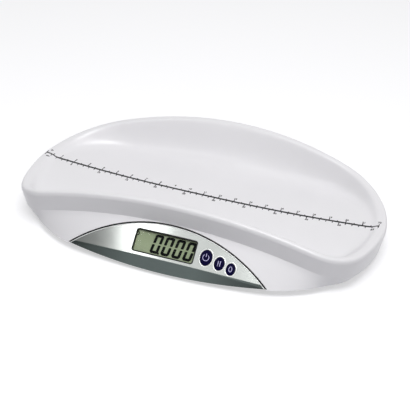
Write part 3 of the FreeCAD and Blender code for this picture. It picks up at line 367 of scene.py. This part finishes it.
# shared making
def meshFrom(name, vertices, faces, material, sharpAngle=35):
    mesh = bpy.data.meshes.new(name)
    mesh.from_pydata([tuple(vertex) for vertex in vertices], [], faces)
    shell = bmesh.new()
    shell.from_mesh(mesh)
    bmesh.ops.remove_doubles(shell, verts=shell.verts, dist=1e-7)
    bmesh.ops.recalc_face_normals(shell, faces=shell.faces)
    shell.to_mesh(mesh)
    shell.free()
    mesh.shade_smooth()
    mesh.set_sharp_from_angle(angle=math.radians(sharpAngle))
    mesh.materials.append(material)
    piece = bpy.data.objects.new(name, mesh)
    scene.collection.objects.link(piece)
    return piece


def finishPiece(piece, body, slot, *replaced):
    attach(piece, body)
    if replaced:
        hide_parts(*replaced)


def startTree(name, sockets):
    tree = bpy.data.node_groups.new(name, "GeometryNodeTree")
    tree.interface.new_socket("Geometry", in_out="INPUT", socket_type="NodeSocketGeometry")
    for label, kind in sockets:
        tree.interface.new_socket(label, in_out="INPUT", socket_type="NodeSocket" + kind)
    tree.interface.new_socket("Geometry", in_out="OUTPUT", socket_type="NodeSocketGeometry")
    return tree, addNode(tree, "NodeGroupInput").outputs


def endTree(tree, geometry, material):
    whole = addNode(tree, "GeometryNodeRealizeInstances", {"Geometry": geometry})
    painted = addNode(tree, "GeometryNodeSetMaterial", {"Geometry": whole.outputs[0], "Material": material})
    addNode(tree, "NodeGroupOutput", {0: painted.outputs[0]})


def grow(name, tree, values, points=()):
    # runs a tree once with its named inputs and keeps the plain mesh it gives
    seed = bpy.data.meshes.new(name + "Seed")
    seed.from_pydata([tuple(point) for point in points], [], [])
    holder = bpy.data.objects.new(name + "Holder", seed)
    scene.collection.objects.link(holder)
    modifier = holder.modifiers.new("tree", "NODES")
    modifier.node_group = tree
    for item in tree.interface.items_tree:
        if item.item_type == "SOCKET" and item.in_out == "INPUT" and item.name in values:
            modifier[item.identifier] = values[item.name]
    ready = holder.evaluated_get(bpy.context.evaluated_depsgraph_get())
    mesh = bpy.data.meshes.new_from_object(ready)
    bpy.data.objects.remove(holder)
    mesh.name = name
    kept = [material for material in mesh.materials if material][0]
    mesh.materials.clear()
    mesh.materials.append(kept)
    for face in mesh.polygons:
        face.material_index = 0
    piece = bpy.data.objects.new(name, mesh)
    scene.collection.objects.link(piece)
    return piece


def treeOf(node):
    shell = bmesh.new()
    shell.from_mesh(cadNodes[node].data if isinstance(node, str) else node.data)
    tree = BVHTree.FromBMesh(shell)
    shell.free()
    return tree


def ringRows(rows, place, steps=72):
    # rows of (half width, half height, out) round an oval; place turns (x, up, out) into a point
    vertices, faces = [], []
    for wide, high, out in rows:
        for step in range(steps):
            turn = 2 * math.pi * step / steps
            vertices.append(place(wide * math.cos(turn), high * math.sin(turn), out))
    for row in range(len(rows) - 1):
        for step in range(steps):
            ahead = (step + 1) % steps
            faces.append((row * steps + step, row * steps + ahead, (row + 1) * steps + ahead,
                          (row + 1) * steps + step))
    faces.append(tuple(range(steps - 1, -1, -1)))
    faces.append(tuple((len(rows) - 1) * steps + step for step in range(steps)))
    return vertices, faces


def ovalPoints(wide, high, first=0, last=360, step=10):
    # points of an oval from first to last degree
    return [(wide * math.cos(math.radians(turn)), high * math.sin(math.radians(turn)))
            for turn in range(first, last, step)]


def stroke(points, width, closed=False):
    # flat ribbon along a line of (x, y): its corner points, two for each point of the line
    line = [Vector(point) for point in points]
    count = len(line)
    pairs = []
    for index, point in enumerate(line):
        before = line[index - 1] if closed or index else point
        after = line[(index + 1) % count] if closed or index < count - 1 else point
        ahead = (after - before).normalized()
        side = Vector((-ahead.y, ahead.x)) * width / 2
        pairs.append((point - side, point + side))
    spans = range(count if closed else count - 1)
    return [(pairs[i][0], pairs[(i + 1) % count][0], pairs[(i + 1) % count][1], pairs[i][1]) for i in spans]


def layPrint(name, quads, place, surface, down, thickness, material):
    # lays flat outlines on a surface: place gives a point above it, down is the way to it
    vertices, faces = [], []
    for quad in quads:
        first = len(vertices)
        for corner in quad:
            start = place(*corner)
            hit = surface.ray_cast(start, down)[0]
            vertices.append((hit or start) - down * thickness)
        for corner in quad:
            start = place(*corner)
            hit = surface.ray_cast(start, down)[0]
            vertices.append((hit or start) + down * thickness)
        count = len(quad)
        faces.append(tuple(range(first, first + count)))
        faces.append(tuple(range(first + 2 * count - 1, first + count - 1, -1)))
        for side in range(count):
            ahead = (side + 1) % count
            faces.append((first + ahead, first + side, first + count + side, first + count + ahead))
    return meshFrom(name, vertices, faces, material)


# ruler printed along the tray: marks in centimetres on the near side, inches on the far side
rulerSet = {
    # line from start to end, seen from above; marks and numbers are set by length along it
    "start": (-0.2810, 0.0229), "end": (0.2750, 0.0147), "above": 0.3, "span": 0.560, "lineWidth": 0.0038,
    "tickWidth": 0.0014, "ink": 0.00008, "steps": 600, "seekSteps": 1200,
    "cm": {"count": 57, "span": 0.560, "length": 0.0052, "long": 0.0062, "every": 5, "side": -1},
    "inch": {"count": 45, "span": 0.5588, "length": 0.0036, "long": 0.0062, "every": 2, "side": 1},
    "endLow": {"count": 2, "span": 0.560, "length": 0.0065, "long": 0.0065, "every": 1, "side": -1},
    "endHigh": {"count": 2, "span": 0.560, "length": 0.0075, "long": 0.0075, "every": 1, "side": 1},
    "cmDigits": {"step": 5, "pitch": 0.01, "count": 11, "high": 0.0038, "away": -0.0102, "unit": ("cm", 0.006)},
    "inchDigits": {"step": 1, "pitch": 0.0254, "count": 22, "high": 0.0036, "away": 0.0066, "unit": ("in", 0.005)},
    "bold": 0.045}


def dropOnTray(tree, source, tray):
    # sends points straight down on to the tray
    target = addNode(tree, "GeometryNodeObjectInfo", {"Object": tray})
    place = addNode(tree, "GeometryNodeInputPosition")
    lifted = addNode(tree, "ShaderNodeVectorMath", {0: place.outputs[0], 1: (0, 0, rulerSet["above"])})
    hit = addNode(tree, "GeometryNodeRaycast", {"Target Geometry": target.outputs["Geometry"],
                                                "Source Position": lifted.outputs[0],
                                                "Ray Direction": (0, 0, -1), "Ray Length": 1.0})
    moved = addNode(tree, "GeometryNodeSetPosition",
                    {"Geometry": source, "Position": hit.outputs["Hit Position"]})
    return moved.outputs[0], hit.outputs["Hit Normal"]


def lineOnTray(tree, inputs):
    line = addNode(tree, "GeometryNodeCurvePrimitiveLine", {"Start": inputs["Start"], "End": inputs["End"]})
    fine = addNode(tree, "GeometryNodeResampleCurve", {"Curve": line.outputs[0], "Count": rulerSet["steps"]})
    laid = dropOnTray(tree, fine.outputs[0], inputs["Tray"])[0]
    # inputs 4 and 5 are where it starts and ends, as lengths along it
    cut = addNode(tree, "GeometryNodeTrimCurve", {"Curve": laid, 4: 0.0, 5: inputs["Span"]}, mode="LENGTH")
    return cut.outputs[0]


def makeRulerLineTree():
    tree, inputs = startTree("rulerLine", [("Tray", "Object"), ("Start", "Vector"), ("End", "Vector"),
                                           ("Span", "Float"), ("Width", "Float"), ("Ink", "Float"),
                                           ("Material", "Material")])
    path = addNode(tree, "GeometryNodeSetCurveNormal", {"Curve": lineOnTray(tree, inputs)}, mode="Z_UP")
    section = addNode(tree, "GeometryNodeCurvePrimitiveQuadrilateral", {0: inputs["Width"], 1: inputs["Ink"]})
    band = addNode(tree, "GeometryNodeCurveToMesh",
                   {"Curve": path.outputs[0], "Profile Curve": section.outputs[0], "Fill Caps": True})
    endTree(tree, band.outputs[0], inputs["Material"])
    return tree


def makeRulerTickTree():
    tree, inputs = startTree("rulerTicks", [("Tray", "Object"), ("Start", "Vector"), ("End", "Vector"),
                                            ("Span", "Float"), ("Count", "Int"), ("Length", "Float"),
                                            ("Long Length", "Float"), ("Long Every", "Int"), ("Side", "Float"),
                                            ("Width", "Float"), ("Ink", "Float"), ("Material", "Material")])
    points = addNode(tree, "GeometryNodeCurveToPoints",
                     {"Curve": lineOnTray(tree, inputs), "Count": inputs["Count"]})
    laid, up = dropOnTray(tree, points.outputs["Points"], inputs["Tray"])
    rank = addNode(tree, "GeometryNodeInputIndex")
    rest = addNode(tree, "ShaderNodeMath", {0: rank.outputs[0], 1: inputs["Long Every"]}, operation="MODULO")
    isLong = addNode(tree, "FunctionNodeCompare", {0: rest.outputs[0], 1: 0.5}, operation="LESS_THAN")
    length = addNode(tree, "GeometryNodeSwitch", {"Switch": isLong.outputs[0], "False": inputs["Length"],
                                                  "True": inputs["Long Length"]}, input_type="FLOAT")
    upright = addNode(tree, "FunctionNodeAlignRotationToVector", {"Vector": up}, axis="Z")
    turned = addNode(tree, "FunctionNodeAlignRotationToVector", {"Rotation": upright.outputs[0],
                                                                 "Vector": points.outputs["Tangent"]},
                     axis="X", pivot_axis="Z")
    size = addNode(tree, "ShaderNodeCombineXYZ", {0: inputs["Width"], 1: 1.0, 2: inputs["Ink"]})
    bar = addNode(tree, "GeometryNodeMeshCube", {"Size": size.outputs[0]})
    beside = addNode(tree, "GeometryNodeTransform", {"Geometry": bar.outputs["Mesh"], "Translation": (0, 0.5, 0)})
    reach = addNode(tree, "ShaderNodeMath", {0: length.outputs[0], 1: inputs["Side"]}, operation="MULTIPLY")
    scale = addNode(tree, "ShaderNodeCombineXYZ", {0: 1.0, 1: reach.outputs[0], 2: 1.0})
    ticks = addNode(tree, "GeometryNodeInstanceOnPoints",
                    {"Points": laid, "Instance": beside.outputs[0], "Rotation": turned.outputs[0],
                     "Scale": scale.outputs[0]})
    whole = addNode(tree, "GeometryNodeRealizeInstances", {"Geometry": ticks.outputs[0]})
    flipped = addNode(tree, "ShaderNodeMath", {0: inputs["Side"], 1: 0.0}, operation="LESS_THAN")
    outward = addNode(tree, "GeometryNodeFlipFaces", {"Mesh": whole.outputs[0], "Selection": flipped.outputs[0]})
    endTree(tree, outward.outputs[0], inputs["Material"])
    return tree


def makeRuler(setup):
    common = {"Tray": cadNodes["tray_shell"], "Start": (*setup["start"], 0.0), "End": (*setup["end"], 0.0),
              "Ink": setup["ink"], "Material": rulerInk}
    line = grow("rulerLine", makeRulerLineTree(), {**common, "Span": setup["span"], "Width": setup["lineWidth"]})
    finishPiece(line, "housing", "shell_white")
    tickTree = makeRulerTickTree()
    for scale in ("cm", "inch", "endLow", "endHigh"):
        row = setup[scale]
        ticks = grow(scale + "Ticks", tickTree, {
            **common, "Span": row["span"], "Count": row["count"], "Length": row["length"],
            "Long Length": row["long"], "Long Every": row["every"], "Side": float(row["side"]),
            "Width": setup["tickWidth"]})
        finishPiece(ticks, "housing", "shell_white")


def textMesh(text, high, bold):
    # flat outlines of a number, centred on x, as a list of corner lists in metres; bold is a share of the size
    curve = bpy.data.curves.new(text, "FONT")
    curve.body = text
    curve.align_x = "CENTER"
    curve.size = high / 0.7
    curve.offset = bold * curve.size
    curve.resolution_u = 2
    holder = bpy.data.objects.new(text, curve)
    mesh = bpy.data.meshes.new_from_object(holder)
    faces = [[tuple(mesh.vertices[index].co.xy) for index in polygon.vertices] for polygon in mesh.polygons]
    bpy.data.objects.remove(holder)
    bpy.data.meshes.remove(mesh)
    return faces


def makeRulerDigits(setup):
    surface = treeOf("tray_shell")
    start, end = Vector((*setup["start"], 0)), Vector((*setup["end"], 0))
    along = (end - start).normalized()
    across = Vector((-along.y, along.x, 0))
    down, above = Vector((0, 0, -1)), Vector((0, 0, setup["above"]))
    # the line on the tray as (length so far, place)
    path = []
    for step in range(1, setup["seekSteps"]):
        place = start + along * (end - start).length * step / setup["seekSteps"]
        hit = surface.ray_cast(place + above, down)[0]
        path.append(((path[-1][0] + (hit - path[-1][1]).length) if path else 0.0, hit))
    for scale in ("cmDigits", "inchDigits"):
        row = setup[scale]
        quads = []
        labels = [(str(number * row["step"]), number * row["step"] * row["pitch"])
                  for number in range(1, row["count"] + 1)] + [row["unit"]]
        for label, reach in labels:
            middle = min(path, key=lambda place: abs(place[0] - reach))[1]
            for face in textMesh(label, row["high"], setup["bold"]):
                quads.append([(middle.x + along.x * x + across.x * (row["away"] + y),
                               middle.y + along.y * x + across.y * (row["away"] + y)) for x, y in face])
        digits = layPrint(scale, quads, lambda x, y: Vector((x, y, setup["above"])), surface, down,
                          setup["ink"] / 2, rulerInk)
        finishPiece(digits, "housing", "shell_white")


makeRuler(rulerSet)
makeRulerDigits(rulerSet)
print("ruler printed")

# display: black liner of the window, partly a black bezel and partly a painted shade on the recess walls;
# segments, clear pane
windowSet = {"margin": 0.002, "corner": 0.003, "wall": 0.0007, "play": 0.00005, "lip": 0.0002, "seat": 0.00003,
             "frame": 0.0011, "paneLift": 0.0003, "paneBevel": 0.0004, "border": 0.0009}


def roundedOutline(wide, high, corner, middle=(0, 0), steps=8, spans=24):
    # rounded rectangle; its straight sides are divided too, so that they can follow the bowed face
    arcs = []
    for sideX, sideY, first in ((1, 1, 0), (-1, 1, 90), (-1, -1, 180), (1, -1, 270)):
        x, y = middle[0] + sideX * (wide / 2 - corner), middle[1] + sideY * (high / 2 - corner)
        turns = [math.radians(first + 90 * step / steps) for step in range(steps + 1)]
        arcs.append([Vector((x + corner * math.cos(turn), y + corner * math.sin(turn))) for turn in turns])
    points = []
    for arc, ahead in zip(arcs, arcs[1:] + arcs[:1]):
        points += arc + [arc[-1].lerp(ahead[0], span / spans) for span in range(1, spans)]
    return [tuple(point) for point in points]


def loopRows(rows):
    # closed ring from rows of (outline, out of each point)
    vertices, faces = [], []
    count = len(rows[0][0])
    for outline, out in rows:
        for x, up in outline:
            vertices.append(onFace(x, up, out(x) if callable(out) else out))
    for row in range(len(rows)):
        below = (row + 1) % len(rows)
        for step in range(count):
            ahead = (step + 1) % count
            faces.append((row * count + step, row * count + ahead, below * count + ahead, below * count + step))
    return vertices, faces


def makeWindow(setup):
    low, high = faceBox("lcd_lens")
    middle = ((low.x + high.x) / 2, (low.y + high.y) / 2)
    lost = 2 * setup["margin"] + 2 * setup["play"]

    def outlineAt(inset):
        return roundedOutline(high.x - low.x - lost - 2 * inset, high.y - low.y - lost - 2 * inset,
                              setup["corner"] - inset, middle)
    outer, inner, border, foot = (outlineAt(inset) for inset in
                                  (0.0, setup["wall"], -setup["frame"], setup["border"]))

    def top(x):
        return -faceSag(x) + setup["lip"]

    def seat(x):
        return -faceSag(x) + setup["seat"]
    # the black liner is a painted shade on the window's recess walls as well as a black bezel
    liner = meshFrom("windowLiner", *loopRows([(outer, high.z), (outer, seat), (border, seat), (border, top),
                                               (inner, top), (foot, high.z)]), blackAbs)
    finishPiece(liner, "housing", "frame_black")
    bevel = setup["paneBevel"]
    pane = roundedOutline(high.x - low.x, high.y - low.y, bevel * 2, middle)
    small = roundedOutline(high.x - low.x - 2 * bevel, high.y - low.y - 2 * bevel, bevel, middle)
    vertices, faces = loopRows([(small, low.z + setup["paneLift"]), (pane, low.z + setup["paneLift"] + bevel),
                                (pane, high.z - bevel), (small, high.z)])
    count = len(pane)
    faces = faces[:3 * count] + [tuple(range(count)), tuple(range(3 * count, 4 * count))]
    pane = meshFrom("clearPane", vertices, faces, clearAcrylic)
    finishPiece(pane, "housing", "lens_clear", "lcd_lens")


makeWindow(windowSet)

# segments: places and sizes in the face's own x and up, before the slant
segmentSet = {"first": -0.0229, "pitch": 0.0170, "low": 0.0069, "high": 0.0284, "wide": 0.0134, "thick": 0.0042,
              "barThick": 0.0040, "gap": 0.0012, "corner": 0.0024, "point": 0.4, "slant": 8.0, "film": 0.00012,
              "dot": (-0.0112, 0.0082), "dotSide": 0.0032,
              "zero": (-0.0486, 0.0309), "zeroHigh": 0.0044, "zeroWide": 0.0032, "zeroLine": 0.0013, "count": 4}


def digitOutlines(setup):
    # a nought of two solid cups, which meet in points at mid height
    thick, bar, gap, corner = (setup[key] / 2 for key in ("thick", "barThick", "gap", "corner"))
    wide, high = setup["wide"] - 2 * thick, setup["high"] - 2 * bar
    shoulder, peak = high / 2 - thick * setup["point"] - gap, high / 2 - gap
    cup = [(2 * corner - thick, -bar), (wide + thick - 2 * corner, -bar), (wide + thick, 2 * corner - bar),
           (wide + thick, shoulder), (wide, peak), (wide - thick, shoulder), (wide - thick, bar), (thick, bar),
           (thick, shoulder), (0, peak), (-thick, shoulder), (-thick, 2 * corner - bar)]
    return [[(x, y + bar) for x, y in cup], [(x, high - y + bar) for x, y in reversed(cup)]]


def makeDigitTree():
    tree, inputs = startTree("digitRow", [("Digit", "Object"), ("Count", "Int"), ("Pitch", "Float"),
                                          ("Slant", "Float"), ("Material", "Material")])
    step = addNode(tree, "ShaderNodeCombineXYZ", {0: inputs["Pitch"]})
    row = addNode(tree, "GeometryNodeMeshLine", {"Count": inputs["Count"], "Offset": step.outputs[0]})
    digit = addNode(tree, "GeometryNodeObjectInfo", {"Object": inputs["Digit"]})
    digits = addNode(tree, "GeometryNodeInstanceOnPoints", {"Points": row.outputs[0],
                                                            "Instance": digit.outputs["Geometry"]})
    whole = addNode(tree, "GeometryNodeRealizeInstances", {"Geometry": digits.outputs[0]})
    place = addNode(tree, "GeometryNodeInputPosition")
    parts = addNode(tree, "ShaderNodeSeparateXYZ", {0: place.outputs[0]})
    lean = addNode(tree, "ShaderNodeMath", {0: parts.outputs[1], 1: inputs["Slant"]}, operation="MULTIPLY")
    shift = addNode(tree, "ShaderNodeCombineXYZ", {0: lean.outputs[0]})
    slanted = addNode(tree, "GeometryNodeSetPosition", {"Geometry": whole.outputs[0], "Offset": shift.outputs[0]})
    endTree(tree, slanted.outputs[0], inputs["Material"])
    return tree


def slabsFrom(name, outlines, thick, material):
    vertices, faces = [], []
    for outline in outlines:
        first, count = len(vertices), len(outline)
        vertices += [(x, y, 0) for x, y in outline] + [(x, y, thick) for x, y in outline]
        faces.append(tuple(range(first + count - 1, first - 1, -1)))
        faces.append(tuple(range(first + count, first + 2 * count)))
        for side in range(count):
            ahead = (side + 1) % count
            faces.append((first + side, first + ahead, first + count + ahead, first + count + side))
    return meshFrom(name, vertices, faces, material)


def makeDigits(setup):
    digit = slabsFrom("digitZero", digitOutlines(setup), setup["film"], darkCrystal)
    row = grow("displayDigits", makeDigitTree(), {
        "Digit": digit, "Count": setup["count"], "Pitch": setup["pitch"],
        "Slant": math.tan(math.radians(setup["slant"])), "Material": darkCrystal})
    bpy.data.objects.remove(digit)
    glassTop = faceBox("lcd_glass")[1].z
    for vertex in row.data.vertices:
        vertex.co = onFace(setup["first"] + vertex.co.x, setup["low"] + vertex.co.y, glassTop + vertex.co.z)
    finishPiece(row, "housing", "display_glass")
    x, up = setup["dot"]
    side = setup["dotSide"] / 2
    marks = [[(x - side, up - side), (x + side, up - side), (x + side, up + side), (x - side, up + side)]]
    zeroX, zeroUp = setup["zero"]
    oval = [(zeroX + a, zeroUp + b) for a, b in ovalPoints(setup["zeroWide"] / 2, setup["zeroHigh"] / 2, step=20)]
    marks += [[tuple(corner) for corner in quad] for quad in stroke(oval, setup["zeroLine"], True)]
    extras = slabsFrom("displayMarks", marks, setup["film"], darkCrystal)
    for vertex in extras.data.vertices:
        vertex.co = onFace(vertex.co.x, vertex.co.y, glassTop + vertex.co.z)
    finishPiece(extras, "housing", "display_glass")


makeDigits(segmentSet)
print("display made")

# buttons: cap with a domed top, printed mark, pale ring in the face, which is partly trim and partly a painted
# highlight on the opening's edge
keySet = {"flangeReach": 0.0012, "flangeThick": 0.0008, "stemRadius": 0.0016, "dome": 0.0005, "edge": 0.0006,
          "wall": 0.0027, "ringGap": 0.0006, "ringWide": 0.0013, "ringHigh": 0.00035,
          "ringSink": 0.0003, "markLine": 0.0008, "markHigh": 0.52, "ink": 0.00006, "markReach": 0.02,
          "edgeSteps": 6, "domeShares": (0.85, 0.65, 0.4, 0.15), "ringEdge": 0.0003, "ringShoulder": 0.00015}


def upright(x, low, high, steps=8):
    # points of an upright bar
    return [(x, low + (high - low) * step / steps) for step in range(steps + 1)]


# generic marks, as shares of the mark's height: ring with a gap and a bar, two bars, a nought
markShapes = {"powerRing": 0.38, "powerGap": (125, 416), "powerBar": (0.08, 0.5), "holdApart": 0.16,
              "holdHalf": 0.38, "holdLine": 1.2, "zeroOval": (0.24, 0.4)}


def markQuads(kind, high, line):
    shapes = markShapes
    if kind == "power":
        ring, bar = high * shapes["powerRing"], shapes["powerBar"]
        return stroke(ovalPoints(ring, ring, *shapes["powerGap"]), line) + stroke(
            upright(0, high * bar[0], high * bar[1]), line)
    if kind == "hold":
        apart, half, wide = high * shapes["holdApart"], high * shapes["holdHalf"], line * shapes["holdLine"]
        return [quad for x in (-apart, apart) for quad in stroke(upright(x, -half, half), wide)]
    wide, tall = shapes["zeroOval"]
    return stroke(ovalPoints(high * wide, high * tall), line, True)


def makeButton(kind, setup):
    low, high = faceBox("button_" + kind)
    x, up = (low.x + high.x) / 2, (low.y + high.y) / 2
    wide, tall = (high.x - low.x) / 2 - setup["flangeReach"], (high.y - low.y) / 2 - setup["flangeReach"]
    top = high.z
    flangeTop = -faceSag(high.x) - setup["wall"]
    flangeWide, flangeTall = wide + setup["flangeReach"], tall + setup["flangeReach"]
    stem, edge = setup["stemRadius"], setup["edge"]
    rows = [(stem, stem, low.z), (stem, stem, flangeTop - setup["flangeThick"]),
            (flangeWide, flangeTall, flangeTop - setup["flangeThick"]), (flangeWide, flangeTall, flangeTop),
            (wide, tall, flangeTop)]
    for step in range(setup["edgeSteps"] + 1):
        turn = math.radians(90 * step / setup["edgeSteps"])
        shrink = edge * (1 - math.cos(turn))
        rows.append((wide - shrink, tall - shrink, top - edge + edge * math.sin(turn)))
    for share in setup["domeShares"]:
        rows.append((wide * share, tall * share, top + setup["dome"] * (1 - share ** 2)))

    def place(across, along, out):
        return onFace(x + across, up + along, out)
    cap = meshFrom(kind + "Button", *ringRows(rows, place), navyAbs)
    surface = treeOf(cap)
    mark = layPrint(kind + "Mark", markQuads(kind, 2 * tall * setup["markHigh"], setup["markLine"]),
                    lambda a, b: place(a, b, setup["markReach"]), surface, -outFace, setup["ink"], paleInk)
    finishPiece(cap, kind + "_button", "button_navy", "button_" + kind)
    finishPiece(mark, kind + "_button", "button_navy")
    inner, outer = setup["ringGap"], setup["ringGap"] + setup["ringWide"]
    outlines = [[(x + a, up + b) for a, b in ovalPoints(wide + reach, tall + reach, step=5)]
                for reach in (outer, outer - setup["ringEdge"], inner + setup["ringEdge"], inner)]

    def sunk(across):
        return -faceSag(across) - setup["ringSink"]

    def shoulder(across):
        return -faceSag(across) + setup["ringShoulder"]

    def raised(across):
        return -faceSag(across) + setup["ringHigh"]
    rows = [(outlines[0], sunk), (outlines[0], shoulder), (outlines[1], raised), (outlines[2], raised),
            (outlines[3], shoulder), (outlines[3], sunk)]
    # pale ring: trim and a painted highlight on the edge of the button opening
    ring = meshFrom(kind + "Bezel", *loopRows(rows), paleTrimAndHighlight)
    finishPiece(ring, "housing", "panel_silver")


for kind in ("power", "hold", "zero"):
    makeButton(kind, keySet)
print("buttons made")

# pale bead along the pod's arched edge: a painted highlight on that edge
edgeHighlightSet = {"radius": 0.0006, "inset": 0.0007, "steps": 120, "sides": 3}


def makeEdgeHighlight(setup):
    # the pod's edge is an arch through both tips and the top of the face
    rise = podSet["reach"] + podSet["tipDrop"]
    edge = (podSet["halfLength"] ** 2 + rise ** 2) / (2 * rise)
    arch, low = edge - setup["inset"], podSet["reach"] + setup["inset"] - edge
    reach = math.asin((podSet["halfLength"] - setup["inset"]) / arch)
    curve = bpy.data.curves.new("podBead", "CURVE")
    curve.dimensions = "3D"
    curve.bevel_depth = setup["radius"]
    curve.bevel_resolution = setup["sides"]
    curve.use_fill_caps = True
    spline = curve.splines.new("POLY")
    spline.points.add(setup["steps"])
    for step in range(setup["steps"] + 1):
        turn = reach * (2 * step / setup["steps"] - 1)
        x, up = arch * math.sin(turn), low - setup["inset"] + arch * math.cos(turn)
        spline.points[step].co = (*onFace(x, up, -faceSag(x)), 1)
    holder = bpy.data.objects.new("podBeadHolder", curve)
    mesh = bpy.data.meshes.new_from_object(holder)
    bpy.data.objects.remove(holder)
    mesh.materials.clear()
    # pale trim colour: a painted highlight along the pod's edge
    mesh.materials.append(paleTrimAndHighlight)
    mesh.shade_smooth()
    edgeHighlight = bpy.data.objects.new("podBead", mesh)
    scene.collection.objects.link(edgeHighlight)
    finishPiece(edgeHighlight, "housing", "panel_silver")


makeEdgeHighlight(edgeHighlightSet)

# underside: screws with cross recess, grooved foot pads, grip ribs on the battery door
screwSet = {"radius": 0.003, "high": 0.0018, "shank": 0.0015, "slotLong": 0.0017, "slotWide": 0.00045,
            "slotDeep": 0.0011, "edge": 0.0003, "steps": 28}
padSet = {"radius": 0.0115, "high": 0.0035, "edge": 0.0005, "grooves": ((0.0035, 0.0045), (0.0070, 0.0080)),
          "deep": 0.0007, "grooveLean": 0.0002, "middle": 0.0004, "steps": 64}
ribSet = {"count": 5, "pitch": 0.0022, "long": 0.018, "wide": 0.0010, "high": 0.0005, "away": 0.0135,
          "round": 0.8}


def makeSetOutTree():
    tree, inputs = startTree("setOut", [("Piece", "Object"), ("Seed", "Int"), ("Turn", "Float"),
                                        ("Material", "Material")])
    piece = addNode(tree, "GeometryNodeObjectInfo", {"Object": inputs["Piece"]})
    angle = addNode(tree, "FunctionNodeRandomValue", {2: 0.0, 3: inputs["Turn"], "Seed": inputs["Seed"]},
                    data_type="FLOAT")
    turn = addNode(tree, "ShaderNodeCombineXYZ", {2: angle.outputs[1]})
    pieces = addNode(tree, "GeometryNodeInstanceOnPoints", {"Points": inputs["Geometry"],
                                                            "Instance": piece.outputs["Geometry"],
                                                            "Rotation": turn.outputs[0]})
    endTree(tree, pieces.outputs[0], inputs["Material"])
    return tree


setOutTree = makeSetOutTree()


def setOut(name, pattern, points, turn, material):
    # copies of a pattern on points, each turned at random by up to turn
    piece = grow(name, setOutTree, {"Piece": pattern, "Seed": 7, "Turn": turn, "Material": material}, points)
    bpy.data.objects.remove(pattern)
    return piece


def cutWith(piece, cutters):
    for cutter in cutters:
        modifier = piece.modifiers.new("recess", "BOOLEAN")
        modifier.object = cutter
        modifier.solver = "EXACT"
    ready = piece.evaluated_get(bpy.context.evaluated_depsgraph_get())
    mesh = bpy.data.meshes.new_from_object(ready)
    piece.modifiers.clear()
    piece.data = mesh
    for cutter in cutters:
        bpy.data.objects.remove(cutter)


def blockMesh(name, size, material):
    x, y, z = (length / 2 for length in size)
    corners = [(a * x, b * y, c * z) for a in (-1, 1) for b in (-1, 1) for c in (-1, 1)]
    faces = [(0, 1, 3, 2), (4, 6, 7, 5), (0, 4, 5, 1), (2, 3, 7, 6), (0, 2, 6, 4), (1, 5, 7, 3)]
    return meshFrom(name, corners, faces, material)


def makeScrews(setup):
    radius, edge, head, shank = (setup[key] for key in ("radius", "edge", "high", "shank"))
    for node in sorted(name for name in cadNodes if name.startswith("base_screw")):
        low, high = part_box(node)
        profile = [(radius - edge, 0), (radius, edge), (radius, head), (shank, head), (shank, high.z - low.z)]
        rows = [(r, r, z) for r, z in profile]
        screw = meshFrom("screwPattern", *ringRows(rows, lambda *place: Vector(place), setup["steps"]), zincPlate)
        along, across, deep = (2 * setup[key] for key in ("slotLong", "slotWide", "slotDeep"))
        cutWith(screw, [blockMesh("slot", (along, across, deep), zincPlate),
                        blockMesh("slot", (across, along, deep), zincPlate)])
        place = ((low.x + high.x) / 2, (low.y + high.y) / 2, low.z)
        piece = setOut(node.replace("base_screw", "crossScrew"), screw, [place], math.tau, zincPlate)
        finishPiece(piece, "housing", "screw_steel", node)


def makePads(setup):
    edge, high = setup["edge"], setup["high"]
    rows = [(setup["radius"], high), (setup["radius"], edge), (setup["radius"] - edge, 0)]
    for near, far in reversed(setup["grooves"]):
        lean = setup["grooveLean"]
        rows += [(far, 0), (far - lean, setup["deep"]), (near + lean, setup["deep"]), (near, 0)]
    rows.append((setup["middle"], 0))
    vertices, faces = ringRows([(r, r, z) for r, z in rows], lambda *place: Vector(place), setup["steps"])
    pattern = meshFrom("padPattern", vertices, faces, nitrilePad)
    nodes = sorted(name for name in cadNodes if name.startswith("foot_pad"))
    places = []
    for node in nodes:
        low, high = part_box(node)
        places.append(((low.x + high.x) / 2, (low.y + high.y) / 2, low.z))
    finishPiece(setOut("footPads", pattern, places, 0.0, nitrilePad), "housing", "pad_rubber", *nodes)


def makeGripRibs(setup):
    low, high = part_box("battery_door")
    x, z = (low.x + high.x) / 2, low.z
    rib = blockMesh("ribPattern", (setup["long"], setup["wide"], 2 * setup["high"]), sparkErodedAbs)
    modifier = rib.modifiers.new("round", "BEVEL")
    modifier.width = setup["high"] * setup["round"]
    modifier.segments = 2
    cutWith(rib, [])
    places = [(x, high.y - setup["away"] - step * setup["pitch"], z) for step in range(setup["count"])]
    finishPiece(setOut("doorGripRibs", rib, places, 0.0, sparkErodedAbs), "battery_lid", "base_white")


makeScrews(screwSet)
makePads(padSet)
makeGripRibs(ribSet)
print("underside made")
